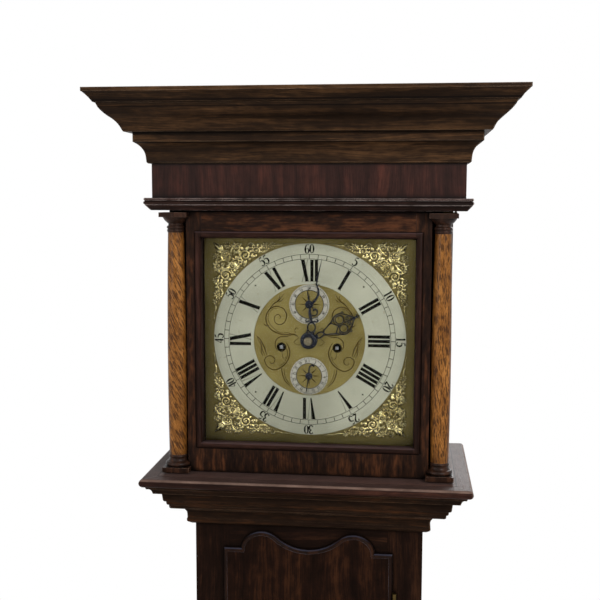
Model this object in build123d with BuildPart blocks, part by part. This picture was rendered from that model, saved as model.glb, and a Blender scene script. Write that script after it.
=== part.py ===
from build123d import *
from math import atan2, cos, hypot, pi, sin, sqrt
import os

# Longcase clock, millimetres. X runs to the right, Y to the back, Z up.
# The origin is on the floor, under the middle of the overall box.

# Overall heights
overall_height = 2000.0
ledge_top = 1466.0
throat_top = 1453.7
throat_shelf = 1441.6
throat_soffit = 1414.4
throat_bottom = 1384.5
base_top = 440.0
base_moulding_top = 490.0

# Depths along Y
back_face = 147.0
board = 12.0
frieze_front = -73.5
trunk_front = -42.0
hood_carcase_front = -38.0
dial_front = -30.0

# Half widths along X
frieze_half = 214.6
hood_side_outer = 199.5
trunk_half = 164.8
throat_out = 59.0
throat_band_out = 13.0
base_spread = 45.0
base_half = trunk_half + base_spread
base_front_y = trunk_front - base_spread

# Carcase boards
side_board = 16.0
frame_board = 18.0
hood_board = 12.0
hood_ear_half = hood_side_outer - hood_board - 1.5
carcase_foot = 380.0
backboard_front = back_face - board
backboard_top = 1870.0
hood_ear_bottom = ledge_top + 1.5
wall_screw_radius = 2.5
wall_screw_z = 1840.0

# Seatboard and movement plates
dial_centre_z = 1656.0
seatboard_top = 1596.0
seatboard_thickness = 18.0
seatboard_front = -14.0
seatboard_back = 88.0
plate_half = 82.0
plate_height = 165.0
plate_thickness = 3.0
front_plate_y = 8.0
back_plate_y = 72.0
plates_inside = front_plate_y + plate_thickness
pillar_radius = 5.0
pillar_x = 72.0
pillar_low = -50.0
pillar_high = 97.0
left_top_pillar_x = -50.0
plate_hole_play = 0.35

# Dial
dial_size = 304.8
dial_plate_thickness = 2.0
ring_outer = 137.5
ring_inner = 80.0
ring_thickness = 1.5
seconds_rise = 51.0
seconds_ring_outer = 28.5
seconds_ring_inner = 20.0
date_drop = 52.0
date_ring_outer = 27.0
date_ring_inner = 18.0
winding_x = 40.0
winding_drop = 11.0
winding_hole = 5.4
spandrel_relief = 3.5
spandrel_edge = 8.0
spandrel_gap = 3.0

# Hood and its door
frieze_bottom = 1840.0
frieze_board_top = 1952.0
cornice_joint = 1945.6
cornice_foot = 1904.0
cornice_fascia_out = 20.4
frieze_moulding_out = 10.0
frieze_moulding_height = 17.0
cornice_out = 73.5
top_board_out = 46.0
top_board_thickness = 8.0
door_half = 170.5
door_front = -60.0
door_back = -40.0
door_bottom = 1468.0
door_top = 1838.0
sight_half = 149.0
sight_bottom = 1511.3
sight_top = 1801.0
sight_moulding = 10.5
sight_depth = 9.0
glass_thickness = 2.0
glass_lap = 5.0
column_x = 186.0
column_y = -55.6
pivot_x = 202.5
pivot_y = -43.5
pivot_radius = 1.5
pivot_strap = 1.4
pivot_depth = 6.5

# Trunk door
trunk_door_half = 122.5
trunk_door_bottom = 545.0
door_shoulder = 1350.5
door_shoulder_width = 25.5
door_crest = 1376.5
door_crest_x = 66.5
door_trough = 1351.7
lip_thickness = 6.8
lip_gap = 0.2
lip_edge = 2.8
lip_step = 5.0
plug_depth = 12.0
opening_inset = 7.5
plug_inset = 8.5
hinge_x = 125.8
hinge_y = -45.5
hinge_radius = 2.9
knuckle = 18.0
hinge_levels = (640.0, 1238.0)

# Pendulum and weights
pallet_rise = 79.0
pendulum_y = 100.0
pendulum_length = 994.0
rod_radius = 2.2
bob_radius = 55.0
bob_thickness = 24.0
barrel_radius = 24.5
line_radius = 0.9
line_lay = 25.75
pulley_radius = 20.0
line_y = 36.0
weight_radius = 28.0
weight_height = 190.0
weight_bottom = 150.0
pulley_rise = 38.0

# Free play between faces that slide or turn past each other
play = 0.3

pulley_z = weight_bottom + weight_height + pulley_rise
going_weight_x = winding_x - line_lay + pulley_radius
strike_weight_x = -winding_x - line_lay + pulley_radius
winding_z = dial_centre_z - winding_drop
pallet_z = dial_centre_z + pallet_rise
seatboard_bottom = seatboard_top - seatboard_thickness

os.makedirs("parts", exist_ok=True)


def save(name, *parts):
    """Write the solids of one sub-part as one group."""
    group = Compound([solid for part in parts for solid in part.solids()])
    group.label = name
    export_step(group, f"parts/{name}.step")


def block(x0, x1, y0, y1, z0, z1, mode=Mode.ADD):
    """Box between two corners, in the open builder."""
    with Locations(((x0 + x1) / 2, (y0 + y1) / 2, (z0 + z1) / 2)):
        return Box(x1 - x0, y1 - y0, z1 - z0, mode=mode)


def cut_block(*corners):
    """The same box, taken away."""
    return block(*corners, mode=Mode.SUBTRACT)


def rod(x, z, y0, y1, radius, mode=Mode.ADD):
    """Round bar along Y, from y0 back to y1."""
    with Locations(Location((x, (y0 + y1) / 2, z), (90, 0, 0))):
        return Cylinder(radius, y1 - y0, mode=mode)


def post(x, y, z0, z1, radius, mode=Mode.ADD):
    """Round bar along Z."""
    with Locations((x, y, (z0 + z1) / 2)):
        return Cylinder(radius, z1 - z0, mode=mode)


def front_plane(y):
    """Upright plane at depth y, seen from the front: X right, Z up."""
    return Plane.XZ.offset(-y)


def mitred_run(draw, half_width, front, reach):
    """One moulding round the front and both sides, mitred at the two front corners.

    draw puts the section into the open sketch, x being the projection and y the height.
    """
    with BuildPart() as across:
        with BuildSketch(Plane(origin=(0, front, 0), x_dir=(0, -1, 0), z_dir=(-1, 0, 0))):
            draw()
        extrude(amount=half_width + reach, both=True)
        right_mitre = Plane(origin=(half_width, front, 0), z_dir=(1, 1, 0))
        left_mitre = Plane(origin=(-half_width, front, 0), z_dir=(-1, 1, 0))
        split(bisect_by=right_mitre, keep=Keep.BOTTOM)
        split(bisect_by=left_mitre, keep=Keep.BOTTOM)
    with BuildPart() as right:
        with BuildSketch(Plane(origin=(half_width, back_face, 0), x_dir=(1, 0, 0), z_dir=(0, -1, 0))):
            draw()
        extrude(amount=back_face - front + reach)
        split(bisect_by=right_mitre, keep=Keep.TOP)
    with BuildPart() as left:
        mirror(right.part, about=Plane.YZ)
    return across.part, right.part, left.part


# Case: backboard, sides and front frame

with BuildPart() as main_board:
    with BuildSketch(front_plane(back_face)):
        with Locations((0, backboard_top / 2)):
            Rectangle(2 * trunk_half, backboard_top)
        with Locations((0, wall_screw_z)):
            Circle(wall_screw_radius, mode=Mode.SUBTRACT)
    extrude(amount=board)
with BuildPart() as hood_ears:
    block(trunk_half, hood_ear_half, backboard_front, back_face, hood_ear_bottom, backboard_top)
    mirror(about=Plane.YZ)
with BuildPart() as base_ears:
    block(trunk_half, base_half, backboard_front, back_face, 0, base_top)
    mirror(about=Plane.YZ)
save("backboard", main_board.part, hood_ears.part, base_ears.part)

runner = 7.0
runner_height = 12.0
with BuildPart() as trunk_sides:
    block(trunk_half - side_board, trunk_half,
          trunk_front + frame_board, backboard_front, carcase_foot, seatboard_bottom)
    mirror(about=Plane.YZ)
with BuildPart() as hood_runners:
    block(trunk_half, trunk_half + runner,
          trunk_front + 2 * frame_board, backboard_front, ledge_top + 2 * play,
          ledge_top + 2 * play + runner_height)
    mirror(about=Plane.YZ)
save("trunk_sides", trunk_sides.part, hood_runners.part)


def trunk_door_outline():
    """Door with square shoulders, two round crests and a hollow between them."""
    rise_x = trunk_door_half - door_shoulder_width
    run = rise_x - door_crest_x
    rise = door_crest - door_shoulder - 3.5
    crest_radius = (run**2 + rise**2) / (2 * rise)
    crest_z = door_crest - crest_radius
    drop = door_trough - crest_z
    hollow_radius = (door_crest_x**2 + drop**2 - crest_radius**2) / (2 * (crest_radius - drop))
    reach = crest_radius + hollow_radius
    turn_x = door_crest_x * (1 - crest_radius / reach)
    turn_z = crest_z + crest_radius * (door_trough + hollow_radius - crest_z) / reach
    rise_z = crest_z + sqrt(crest_radius**2 - run**2)
    with BuildLine() as outline:
        Polyline((0, trunk_door_bottom), (trunk_door_half, trunk_door_bottom),
                 (trunk_door_half, door_shoulder), (rise_x, door_shoulder), (rise_x, rise_z))
        RadiusArc((rise_x, rise_z), (turn_x, turn_z), -crest_radius)
        RadiusArc((turn_x, turn_z), (0, door_trough), hollow_radius)
        mirror(about=Plane.YZ)
    make_face(outline.edges())


frame_top = throat_top
stile_inner = trunk_door_half - opening_inset
leaf_thickness = 1.5
leaf_inner = 116.5
leaf_outer = 127.0
with BuildPart() as trunk_frame:
    with BuildSketch(front_plane(trunk_front + frame_board)):
        with Locations((0, (carcase_foot + frame_top) / 2)):
            Rectangle(2 * trunk_half, frame_top - carcase_foot)
    extrude(amount=frame_board)
    with BuildSketch(front_plane(trunk_front + frame_board)) as door_opening:
        trunk_door_outline()
        offset(amount=-opening_inset, kind=Kind.INTERSECTION)
    extrude(amount=frame_board, mode=Mode.SUBTRACT)
    for level in hinge_levels:
        cut_block(leaf_inner, leaf_outer, trunk_front, trunk_front + leaf_thickness,
                  level, level + 3 * knuckle)
trunk_stiles = []
for side in (-1, 1):
    with BuildPart() as stile:
        add(trunk_frame.part)
        split(bisect_by=Plane(origin=(side * stile_inner, 0, 0), z_dir=(side, 0, 0)), keep=Keep.TOP)
    trunk_stiles.append(stile.part)
with BuildPart() as trunk_rails:
    add(trunk_frame.part)
    split(bisect_by=Plane(origin=(stile_inner, 0, 0), z_dir=(1, 0, 0)), keep=Keep.BOTTOM)
    split(bisect_by=Plane(origin=(-stile_inner, 0, 0), z_dir=(-1, 0, 0)), keep=Keep.BOTTOM)
save("trunk_front_frame", *trunk_stiles, trunk_rails.part)


def throat_section():
    """Fillet, hollow and shelf under the hood, then two small steps down to a soffit."""
    with BuildLine() as outline:
        Polyline((0, throat_top), (throat_out, throat_top), (throat_out - 1.4, throat_top - 3.4),
                 (throat_out - 4.2, throat_top - 4.2))
        ThreePointArc((throat_out - 4.2, throat_top - 4.2), (throat_out - 7.0, throat_top - 6.6),
                      (throat_out - 8.2, throat_top - 9.4))
        Polyline((throat_out - 8.2, throat_top - 9.4), (throat_out - 9.2, throat_shelf),
                 (40.2, throat_shelf), (38.8, throat_shelf - 11.0))
        ThreePointArc((38.8, throat_shelf - 11.0), (37.9, throat_shelf - 13.6), (35.8, throat_shelf - 15.2))
        Polyline((35.8, throat_shelf - 15.2), (35.0, throat_shelf - 15.2), (34.6, throat_shelf - 18.4))
        ThreePointArc((34.6, throat_shelf - 18.4), (33.7, throat_shelf - 20.2), (31.8, throat_shelf - 21.2))
        Polyline((31.8, throat_shelf - 21.2), (31.2, throat_soffit + 1.6), (29.4, throat_soffit),
                 (0, throat_soffit), (0, throat_top))
    make_face(outline.edges())


def throat_band_section():
    """Band against the trunk: small hollow, flat and a bead at the foot."""
    with BuildLine() as outline:
        Polyline((0, throat_soffit), (throat_band_out, throat_soffit),
                 (throat_band_out, throat_soffit - 6.4))
        ThreePointArc((throat_band_out, throat_soffit - 6.4), (11.0, throat_soffit - 9.4),
                      (10.2, throat_soffit - 13.0))
        Line((10.2, throat_soffit - 13.0), (10.0, throat_bottom + 11.0))
        ThreePointArc((10.0, throat_bottom + 11.0), (10.8, throat_bottom + 8.0), (9.8, throat_bottom + 4.8))
        Polyline((9.8, throat_bottom + 4.8), (4.6, throat_bottom + 1.2), (0, throat_bottom),
                 (0, throat_soffit))
    make_face(outline.edges())


save("throat_moulding",
     *mitred_run(throat_section, trunk_half, trunk_front, throat_out),
     *mitred_run(throat_band_section, trunk_half, trunk_front, throat_band_out))

# Base: boards, moulding, floor and skirting

with BuildPart() as base_front:
    block(-base_half, base_half, base_front_y, base_front_y + side_board, 0, base_top)
with BuildPart() as base_sides:
    block(base_half - side_board, base_half, base_front_y + side_board, backboard_front, 0, base_top)
    mirror(about=Plane.YZ)
moulding_out = base_spread + 6.0


def base_moulding_section():
    """Flat edge, deep hollow and a fillet against the trunk."""
    with BuildLine() as outline:
        Polyline((0, base_top), (moulding_out, base_top), (moulding_out, base_top + 7.0),
                 (moulding_out - 4.0, base_top + 8.0))
        RadiusArc((moulding_out - 4.0, base_top + 8.0), (12.0, base_moulding_top - 7.0), 50.0)
        Polyline((12.0, base_moulding_top - 7.0), (8.0, base_moulding_top - 7.0),
                 (8.0, base_moulding_top), (0, base_moulding_top), (0, base_top))
    make_face(outline.edges())


save("base_moulding", *mitred_run(base_moulding_section, trunk_half, trunk_front, moulding_out))

floor_z = 60.0
packing = 40.0
base_inside = base_half - side_board
with BuildPart() as base_floor:
    block(-base_inside, base_inside, base_front_y + side_board, backboard_front,
          floor_z, floor_z + side_board)
with BuildPart() as packing_sides:
    block(trunk_half, base_inside, trunk_front + frame_board, backboard_front,
          base_top - packing, base_top)
    mirror(about=Plane.YZ)
with BuildPart() as packing_front:
    block(-base_inside, base_inside, base_front_y + side_board, trunk_front, base_top - packing, base_top)
save("base_boards", base_front.part, base_sides.part, base_floor.part,
     packing_sides.part, packing_front.part)

skirting_out = 12.0
skirting_top = 92.0


def skirting_section():
    """Plain board with a sloped top edge."""
    with BuildLine() as outline:
        Polyline((0, 0), (skirting_out, 0), (skirting_out, skirting_top - 8.0),
                 (4.0, skirting_top), (0, skirting_top), (0, 0))
    make_face(outline.edges())


save("plinth_skirting", *mitred_run(skirting_section, base_half, base_front_y, skirting_out))

# Hood carcase

with BuildPart() as hood_sides:
    block(hood_side_outer - hood_board, hood_side_outer, hood_carcase_front, back_face,
          ledge_top, frieze_board_top)
    mirror(about=Plane.YZ)
save("hood_sides", hood_sides.part)

frieze_board = 14.0
with BuildPart() as frieze_across:
    block(-frieze_half, frieze_half, frieze_front, frieze_front + frieze_board,
          frieze_bottom, frieze_board_top)
with BuildPart() as frieze_returns:
    block(hood_side_outer, frieze_half, frieze_front + frieze_board, back_face,
          frieze_bottom, frieze_board_top)
    post(pivot_x, pivot_y, frieze_bottom, frieze_bottom + pivot_depth + 0.5, pivot_radius + play,
         Mode.SUBTRACT)
    mirror(about=Plane.YZ)
with BuildPart() as head_rail:
    block(-hood_side_outer, hood_side_outer, frieze_front + frieze_board, hood_carcase_front,
          frieze_bottom, frieze_bottom + frame_board)
save("hood_frieze", frieze_across.part, frieze_returns.part, head_rail.part)


def upper_cornice_section():
    """Long double curve, small step, hollow and top fillet of the cornice."""
    curve_foot = cornice_joint + 2.4
    curve_turn = cornice_joint + 16.9
    curve_top = cornice_joint + 30.6
    hollow_foot = cornice_joint + 37.8
    fillet_foot = overall_height - 5.6
    top_board_bottom = overall_height - top_board_thickness
    with BuildLine() as outline:
        Polyline((0, cornice_joint), (30.3, cornice_joint), (31.8, curve_foot))
        ThreePointArc((31.8, curve_foot), (35.6, curve_foot + 7.2), (42.5, curve_turn))
        ThreePointArc((42.5, curve_turn), (51.0, curve_turn + 6.9), (56.6, curve_top))
        Polyline((56.6, curve_top), (58.6, curve_top + 4.8), (61.8, curve_top + 6.0), (62.6, hollow_foot))
        ThreePointArc((62.6, hollow_foot), (66.4, hollow_foot + 5.2), (72.2, fillet_foot))
        Polyline((72.2, fillet_foot), (cornice_out, fillet_foot + 0.6), (cornice_out, overall_height),
                 (top_board_out, overall_height), (top_board_out, top_board_bottom),
                 (40.0, top_board_bottom), (0, frieze_board_top), (0, cornice_joint))
    make_face(outline.edges())


def lower_cornice_section():
    """Fillet, hollow and fascia."""
    hollow_foot = cornice_foot + 10.0
    with BuildLine() as outline:
        Polyline((0, cornice_foot), (4.0, cornice_foot), (5.6, cornice_foot + 1.6), (6.4, hollow_foot))
        ThreePointArc((6.4, hollow_foot), (9.2, hollow_foot + 8.4), (17.6, hollow_foot + 17.0))
        Polyline((17.6, hollow_foot + 17.0), (cornice_fascia_out, hollow_foot + 18.6),
                 (cornice_fascia_out, cornice_joint), (0, cornice_joint), (0, cornice_foot))
    make_face(outline.edges())


def frieze_moulding_section():
    """Slope, bead, groove and fillet along the bottom edge of the frieze."""
    bead_foot = frieze_bottom + 8.2
    top = frieze_bottom + frieze_moulding_height
    with BuildLine() as outline:
        Polyline((0, frieze_bottom), (1.6, frieze_bottom), (3.2, frieze_bottom + 1.6),
                 (8.4, bead_foot - 0.8), (8.4, bead_foot))
        ThreePointArc((8.4, bead_foot), (frieze_moulding_out, bead_foot + 2.2), (8.4, bead_foot + 4.4))
        Polyline((8.4, bead_foot + 4.4), (8.0, top - 3.8), (9.4, top - 3.4), (9.4, top - 0.8),
                 (8.6, top), (0, top), (0, frieze_bottom))
    make_face(outline.edges())


save("hood_cornice",
     *mitred_run(upper_cornice_section, frieze_half, frieze_front, cornice_out),
     *mitred_run(lower_cornice_section, frieze_half, frieze_front, cornice_fascia_out))
save("frieze_moulding",
     *mitred_run(frieze_moulding_section, frieze_half, frieze_front, frieze_moulding_out))

with BuildPart() as hood_top_board:
    block(-frieze_half - top_board_out, frieze_half + top_board_out,
          frieze_front - top_board_out, back_face,
          overall_height - top_board_thickness, overall_height)
save("hood_top_board", hood_top_board.part)

nose_out = 66.0
nose_joint = 44.0
ledge_thickness = ledge_top - throat_top - play
ledge_bottom = ledge_top - ledge_thickness
frame_inner = trunk_half + 1.2


def nose_section():
    """Rounded front edge of the hood's bottom frame."""
    with BuildLine() as outline:
        Line((nose_joint, ledge_bottom), (nose_out - 4.5, ledge_bottom))
        RadiusArc((nose_out - 4.5, ledge_bottom), (nose_out, ledge_top - 5.5), -8.0)
        RadiusArc((nose_out, ledge_top - 5.5), (nose_out - 3.5, ledge_top), -6.5)
        Polyline((nose_out - 3.5, ledge_top), (nose_joint, ledge_top), (nose_joint, ledge_bottom))
    make_face(outline.edges())


with BuildPart() as ledge_front:
    block(-trunk_half - nose_joint, trunk_half + nose_joint, trunk_front - nose_joint, hood_carcase_front,
          ledge_bottom, ledge_top)
with BuildPart() as ledge_legs:
    block(frame_inner, trunk_half + nose_joint, hood_carcase_front, back_face, ledge_bottom, ledge_top)
    mirror(about=Plane.YZ)
with BuildPart() as ledge_front_bored:
    add(ledge_front.part)
    post(pivot_x, pivot_y, ledge_top - pivot_depth - 0.5, ledge_top, pivot_radius + play, Mode.SUBTRACT)
save("hood_base_frame", ledge_front_bored.part, ledge_legs.part,
     *mitred_run(nose_section, trunk_half, trunk_front, nose_out))

mask_thickness = 5.5
mask_opening = 150.5
with BuildPart() as dial_mask:
    with BuildSketch(front_plane(hood_carcase_front + mask_thickness)):
        with Locations((0, (ledge_top + frieze_bottom) / 2)):
            Rectangle(2 * (hood_side_outer - hood_board), frieze_bottom - ledge_top)
        with Locations((0, dial_centre_z)):
            Rectangle(2 * mask_opening, 2 * mask_opening, mode=Mode.SUBTRACT)
    extrude(amount=mask_thickness)
save("dial_mask", dial_mask.part)

# Hood door with its columns

sight_height = sight_top - sight_bottom
sight_z = (sight_top + sight_bottom) / 2
with BuildPart() as door_slab:
    with BuildSketch(front_plane(door_back)):
        with Locations((0, (door_bottom + door_top) / 2)):
            Rectangle(2 * door_half, door_top - door_bottom)
        with Locations((0, sight_z)):
            Rectangle(2 * sight_half, sight_height, mode=Mode.SUBTRACT)
    extrude(amount=door_back - door_front)
    with BuildSketch(front_plane(door_back)):
        with Locations((0, sight_z)):
            Rectangle(2 * (sight_half + glass_lap + play), sight_height + 2 * (glass_lap + play))
    extrude(amount=door_back - door_front - sight_depth, mode=Mode.SUBTRACT)
    with BuildSketch(front_plane(door_front + sight_depth - 2.0)):
        with Locations((0, sight_z)):
            Rectangle(2 * sight_half, sight_height)
    with BuildSketch(front_plane(door_front)):
        with Locations((0, sight_z)):
            Rectangle(2 * (sight_half + sight_moulding), sight_height + 2 * sight_moulding)
    loft(mode=Mode.SUBTRACT)
door_stiles = []
for side in (-1, 1):
    with BuildPart() as stile:
        add(door_slab.part)
        split(bisect_by=Plane(origin=(side * sight_half, 0, 0), z_dir=(side, 0, 0)), keep=Keep.TOP)
    door_stiles.append(stile.part)
with BuildPart() as door_rails:
    add(door_slab.part)
    split(bisect_by=Plane(origin=(sight_half, 0, 0), z_dir=(1, 0, 0)), keep=Keep.BOTTOM)
    split(bisect_by=Plane(origin=(-sight_half, 0, 0), z_dir=(-1, 0, 0)), keep=Keep.BOTTOM)
save("hood_door_frame", *door_stiles, door_rails.part)

glass_front = door_front + sight_depth
with BuildPart() as hood_door_glass:
    block(-sight_half - glass_lap, sight_half + glass_lap, glass_front, glass_front + glass_thickness,
          sight_bottom - glass_lap, sight_top + glass_lap)
save("hood_door_glass", hood_door_glass.part)

shaft_bottom = 1492.0
shaft_top = 1809.0
shaft_radii = (12.7, 13.5, 11.2)
plinth_top = 1475.0
plinth_size = 38.5
abacus_bottom = 1830.5
abacus_top = 1837.0
abacus_size = 39.0
column_plane = Plane(origin=(column_x, column_y, 0), x_dir=(1, 0, 0), z_dir=(0, -1, 0))
column_axis = Axis((column_x, column_y, 0), (0, 0, 1))


def clear_of_door():
    """Trim a block where it laps the edge of the door frame, and flush with the frame's back."""
    cut_block(column_x - plinth_size, door_half + 0.05, door_front - 0.05, 0, ledge_top, frieze_bottom)
    cut_block(column_x - plinth_size, column_x + plinth_size, door_back - 0.5, 0, ledge_top, frieze_bottom)


with BuildPart() as hood_columns:
    with BuildSketch(column_plane):
        with BuildLine():
            Polyline((shaft_radii[2], shaft_top), (0, shaft_top), (0, shaft_bottom),
                     (shaft_radii[0], shaft_bottom))
            ThreePointArc((shaft_radii[0], shaft_bottom),
                          (shaft_radii[1], (shaft_bottom + shaft_top) / 2),
                          (shaft_radii[2], shaft_top))
        make_face()
    revolve(axis=column_axis)
    mirror(about=Plane.YZ)
save("hood_columns", hood_columns.part)

with BuildPart() as column_bases:
    with BuildSketch(column_plane):
        with BuildLine():
            Polyline((0, plinth_top), (16.6, plinth_top))
            ThreePointArc((16.6, plinth_top), (18.2, plinth_top + 3.2), (16.6, plinth_top + 6.4))
            Line((16.6, plinth_top + 6.4), (15.2, plinth_top + 6.9))
            ThreePointArc((15.2, plinth_top + 6.9), (13.3, plinth_top + 9.2), (12.8, plinth_top + 12.4))
            ThreePointArc((12.8, plinth_top + 12.4), (13.9, plinth_top + 14.3), (12.8, plinth_top + 16.2))
            Polyline((12.8, plinth_top + 16.2), (12.8, shaft_bottom), (0, shaft_bottom), (0, plinth_top))
        make_face()
    revolve(axis=column_axis)
    block(column_x - plinth_size / 2, column_x + plinth_size / 2,
          column_y - plinth_size / 2, column_y + plinth_size / 2, door_bottom, plinth_top)
    clear_of_door()
    mirror(about=Plane.YZ)

with BuildPart() as column_capitals:
    with BuildSketch(column_plane):
        with BuildLine():
            Polyline((0, shaft_top), (11.4, shaft_top), (11.6, shaft_top + 0.6))
            ThreePointArc((11.6, shaft_top + 0.6), (12.4, shaft_top + 2.6), (11.6, shaft_top + 4.6))
            Line((11.6, shaft_top + 4.6), (11.4, shaft_top + 5.2))
            ThreePointArc((11.4, shaft_top + 5.2), (12.7, shaft_top + 7.3), (11.4, shaft_top + 9.4))
            Polyline((11.4, shaft_top + 9.4), (10.6, shaft_top + 10.0), (10.6, shaft_top + 12.6),
                     (11.6, shaft_top + 13.2))
            ThreePointArc((11.6, shaft_top + 13.2), (15.2, shaft_top + 16.6), (17.8, abacus_bottom - 1.3))
            Polyline((17.8, abacus_bottom - 1.3), (18.2, abacus_bottom), (0, abacus_bottom), (0, shaft_top))
        make_face()
    revolve(axis=column_axis)
    block(column_x - abacus_size / 2, column_x + abacus_size / 2,
          column_y - abacus_size / 2, column_y + abacus_size / 2, abacus_bottom, abacus_top)
    clear_of_door()
    mirror(about=Plane.YZ)
save("column_caps_and_bases", column_bases.part, column_capitals.part)

with BuildPart() as hood_door_pivots:
    for strap_bottom in (door_bottom - pivot_strap, abacus_top):
        block(column_x, pivot_x + 2.0, pivot_y - 5.0, door_back - 0.5,
              strap_bottom, strap_bottom + pivot_strap)
    post(pivot_x, pivot_y, ledge_top - pivot_depth, door_bottom, pivot_radius)
    post(pivot_x, pivot_y, abacus_top, frieze_bottom + pivot_depth, pivot_radius)
save("hood_door_pivots", hood_door_pivots.part)

# Trunk door

lip_back = trunk_front - lip_gap
lip_front = lip_back - lip_thickness
lock_level = 960.0
lock_half_height = 26.0
lock_depth = 9.0
keyhole_x = -106.0
with BuildPart() as trunk_door_board:
    with BuildSketch(front_plane(lip_back)):
        trunk_door_outline()
    extrude(amount=lip_edge)
    with BuildSketch(front_plane(lip_back)):
        trunk_door_outline()
        offset(amount=-lip_step, kind=Kind.INTERSECTION)
    extrude(amount=lip_thickness)
    with BuildSketch(front_plane(lip_back + plug_depth)):
        trunk_door_outline()
        offset(amount=-plug_inset, kind=Kind.INTERSECTION)
    extrude(amount=plug_depth)
    for level in hinge_levels:
        cut_block(leaf_inner - 4.0, trunk_door_half, lip_back - leaf_thickness, lip_back,
                  level + knuckle, level + 2 * knuckle)
    rod(keyhole_x, lock_level, lip_front - 1, lip_back + plug_depth + 1, 2.5, Mode.SUBTRACT)
save("trunk_door_board", trunk_door_board.part)

with BuildPart() as hinge_leaves_fixed:
    for level in hinge_levels:
        block(leaf_inner, leaf_outer, trunk_front, trunk_front + leaf_thickness, level, level + 3 * knuckle)
        for end in (level, level + 2 * knuckle + play):
            block(hinge_x - 0.8, leaf_outer, hinge_y + 1.5, trunk_front + leaf_thickness,
                  end, end + knuckle - play)
            post(hinge_x, hinge_y, end, end + knuckle - play, hinge_radius)
        post(hinge_x, hinge_y, level, level + 3 * knuckle, 1.0)
save("trunk_hinges_fixed", hinge_leaves_fixed.part)

with BuildPart() as hinge_leaves_door:
    for level in hinge_levels:
        block(leaf_inner - 4.0, hinge_x - 1.6, lip_back - leaf_thickness, lip_back,
              level + knuckle, level + 2 * knuckle)
        post(hinge_x, hinge_y, level + knuckle, level + 2 * knuckle, hinge_radius)
        post(hinge_x, hinge_y, level, level + 3 * knuckle, 1.0 + play, Mode.SUBTRACT)
save("trunk_door_hinges", hinge_leaves_door.part)

plug_back = lip_back + plug_depth
with BuildPart() as lock_case:
    block(keyhole_x - 7.0, keyhole_x + 36.0, plug_back, plug_back + lock_depth,
          lock_level - lock_half_height, lock_level + lock_half_height)
with BuildPart() as escutcheon:
    with BuildSketch(front_plane(lip_front)):
        with Locations((keyhole_x, lock_level)):
            Ellipse(7.0, 17.0)
            Circle(2.2, mode=Mode.SUBTRACT)
        with Locations((keyhole_x, lock_level - 4.0)):
            Rectangle(2.2, 8.0, mode=Mode.SUBTRACT)
    extrude(amount=1.2)
save("trunk_door_lock", lock_case.part)
save("trunk_door_escutcheon", escutcheon.part)

# Dial

half_dial = dial_size / 2
dial_back = dial_front + dial_plate_thickness
with BuildPart() as dial_plate:
    with BuildSketch(front_plane(dial_back)):
        with Locations((0, dial_centre_z)):
            Rectangle(dial_size, dial_size)
            Circle(6.5, mode=Mode.SUBTRACT)
        with Locations((-winding_x, winding_z), (winding_x, winding_z)):
            Circle(winding_hole, mode=Mode.SUBTRACT)
        with Locations((0, dial_centre_z + seconds_rise), (0, dial_centre_z - date_drop)):
            Circle(2.6, mode=Mode.SUBTRACT)
    extrude(amount=dial_plate_thickness)
save("dial_plate", dial_plate.part)


def flat_ring(z, outer, inner):
    """Silvered ring lying on the front of the dial plate."""
    with BuildSketch(front_plane(dial_front)) as outline:
        with Locations((0, z)):
            Circle(outer)
            Circle(inner, mode=Mode.SUBTRACT)
    extrude(outline.sketch, amount=ring_thickness)


with BuildPart() as chapter_ring:
    flat_ring(dial_centre_z, ring_outer, ring_inner)
save("chapter_ring", chapter_ring.part)

with BuildPart() as subsidiary_rings:
    flat_ring(dial_centre_z + seconds_rise, seconds_ring_outer, seconds_ring_inner)
    flat_ring(dial_centre_z - date_drop, date_ring_outer, date_ring_inner)
save("subsidiary_rings", subsidiary_rings.part)

# Each corner piece fills the space between the plate's edge and the chapter ring
with BuildPart() as dial_spandrels:
    with BuildSketch(front_plane(dial_front)):
        with Locations((half_dial / 2, dial_centre_z + half_dial / 2)):
            Rectangle(half_dial - 2 * spandrel_edge - 12.0, half_dial - 2 * spandrel_edge - 12.0)
        with Locations((0, dial_centre_z)):
            Rectangle(2 * (half_dial - spandrel_edge), 2 * (half_dial - spandrel_edge), mode=Mode.INTERSECT)
            Circle(ring_outer + spandrel_gap, mode=Mode.SUBTRACT)
    extrude(amount=spandrel_relief)
    mirror(about=Plane.YZ)
    mirror(about=Plane.XY.offset(dial_centre_z))
save("dial_spandrels", dial_spandrels.part)

# Movement: plates, pillars, cock, bell

third_at = (13.2, 27.6)
pin_at = (-34.0, 26.2)
gathering_at = (-20.0, 47.2)
warning_at = (-34.0, 61.0)
fly_at = (-22.0, 72.0)
hammer_at = (-66.0, 34.0)
minute_at = (0.0, -30.0)
pivot_bore = 1.6
pivot_points = (third_at, pin_at, gathering_at, warning_at, fly_at, hammer_at, (0.0, seconds_rise))
barrel_arbor = 3.5
centre_arbor = 2.2


def plate_outline(y):
    """One brass plate with the bores that both plates share."""
    with BuildSketch(front_plane(y + plate_thickness)) as outline:
        with Locations((0, seatboard_top + plate_height / 2)):
            Rectangle(2 * plate_half, plate_height)
        for x, rise in pivot_points:
            with Locations((x, dial_centre_z + rise)):
                Circle(pivot_bore + plate_hole_play, mode=Mode.SUBTRACT)
        with Locations((-winding_x, winding_z), (winding_x, winding_z)):
            Circle(barrel_arbor + 1.4 + plate_hole_play, mode=Mode.SUBTRACT)
        with Locations((0, dial_centre_z)):
            Circle(centre_arbor + plate_hole_play, mode=Mode.SUBTRACT)
        with Locations((0, pallet_z)):
            Circle(pivot_bore + 2.0, mode=Mode.SUBTRACT)
    extrude(outline.sketch, amount=plate_thickness)


with BuildPart() as movement_plates:
    plate_outline(front_plate_y)
    plate_outline(back_plate_y)

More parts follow.
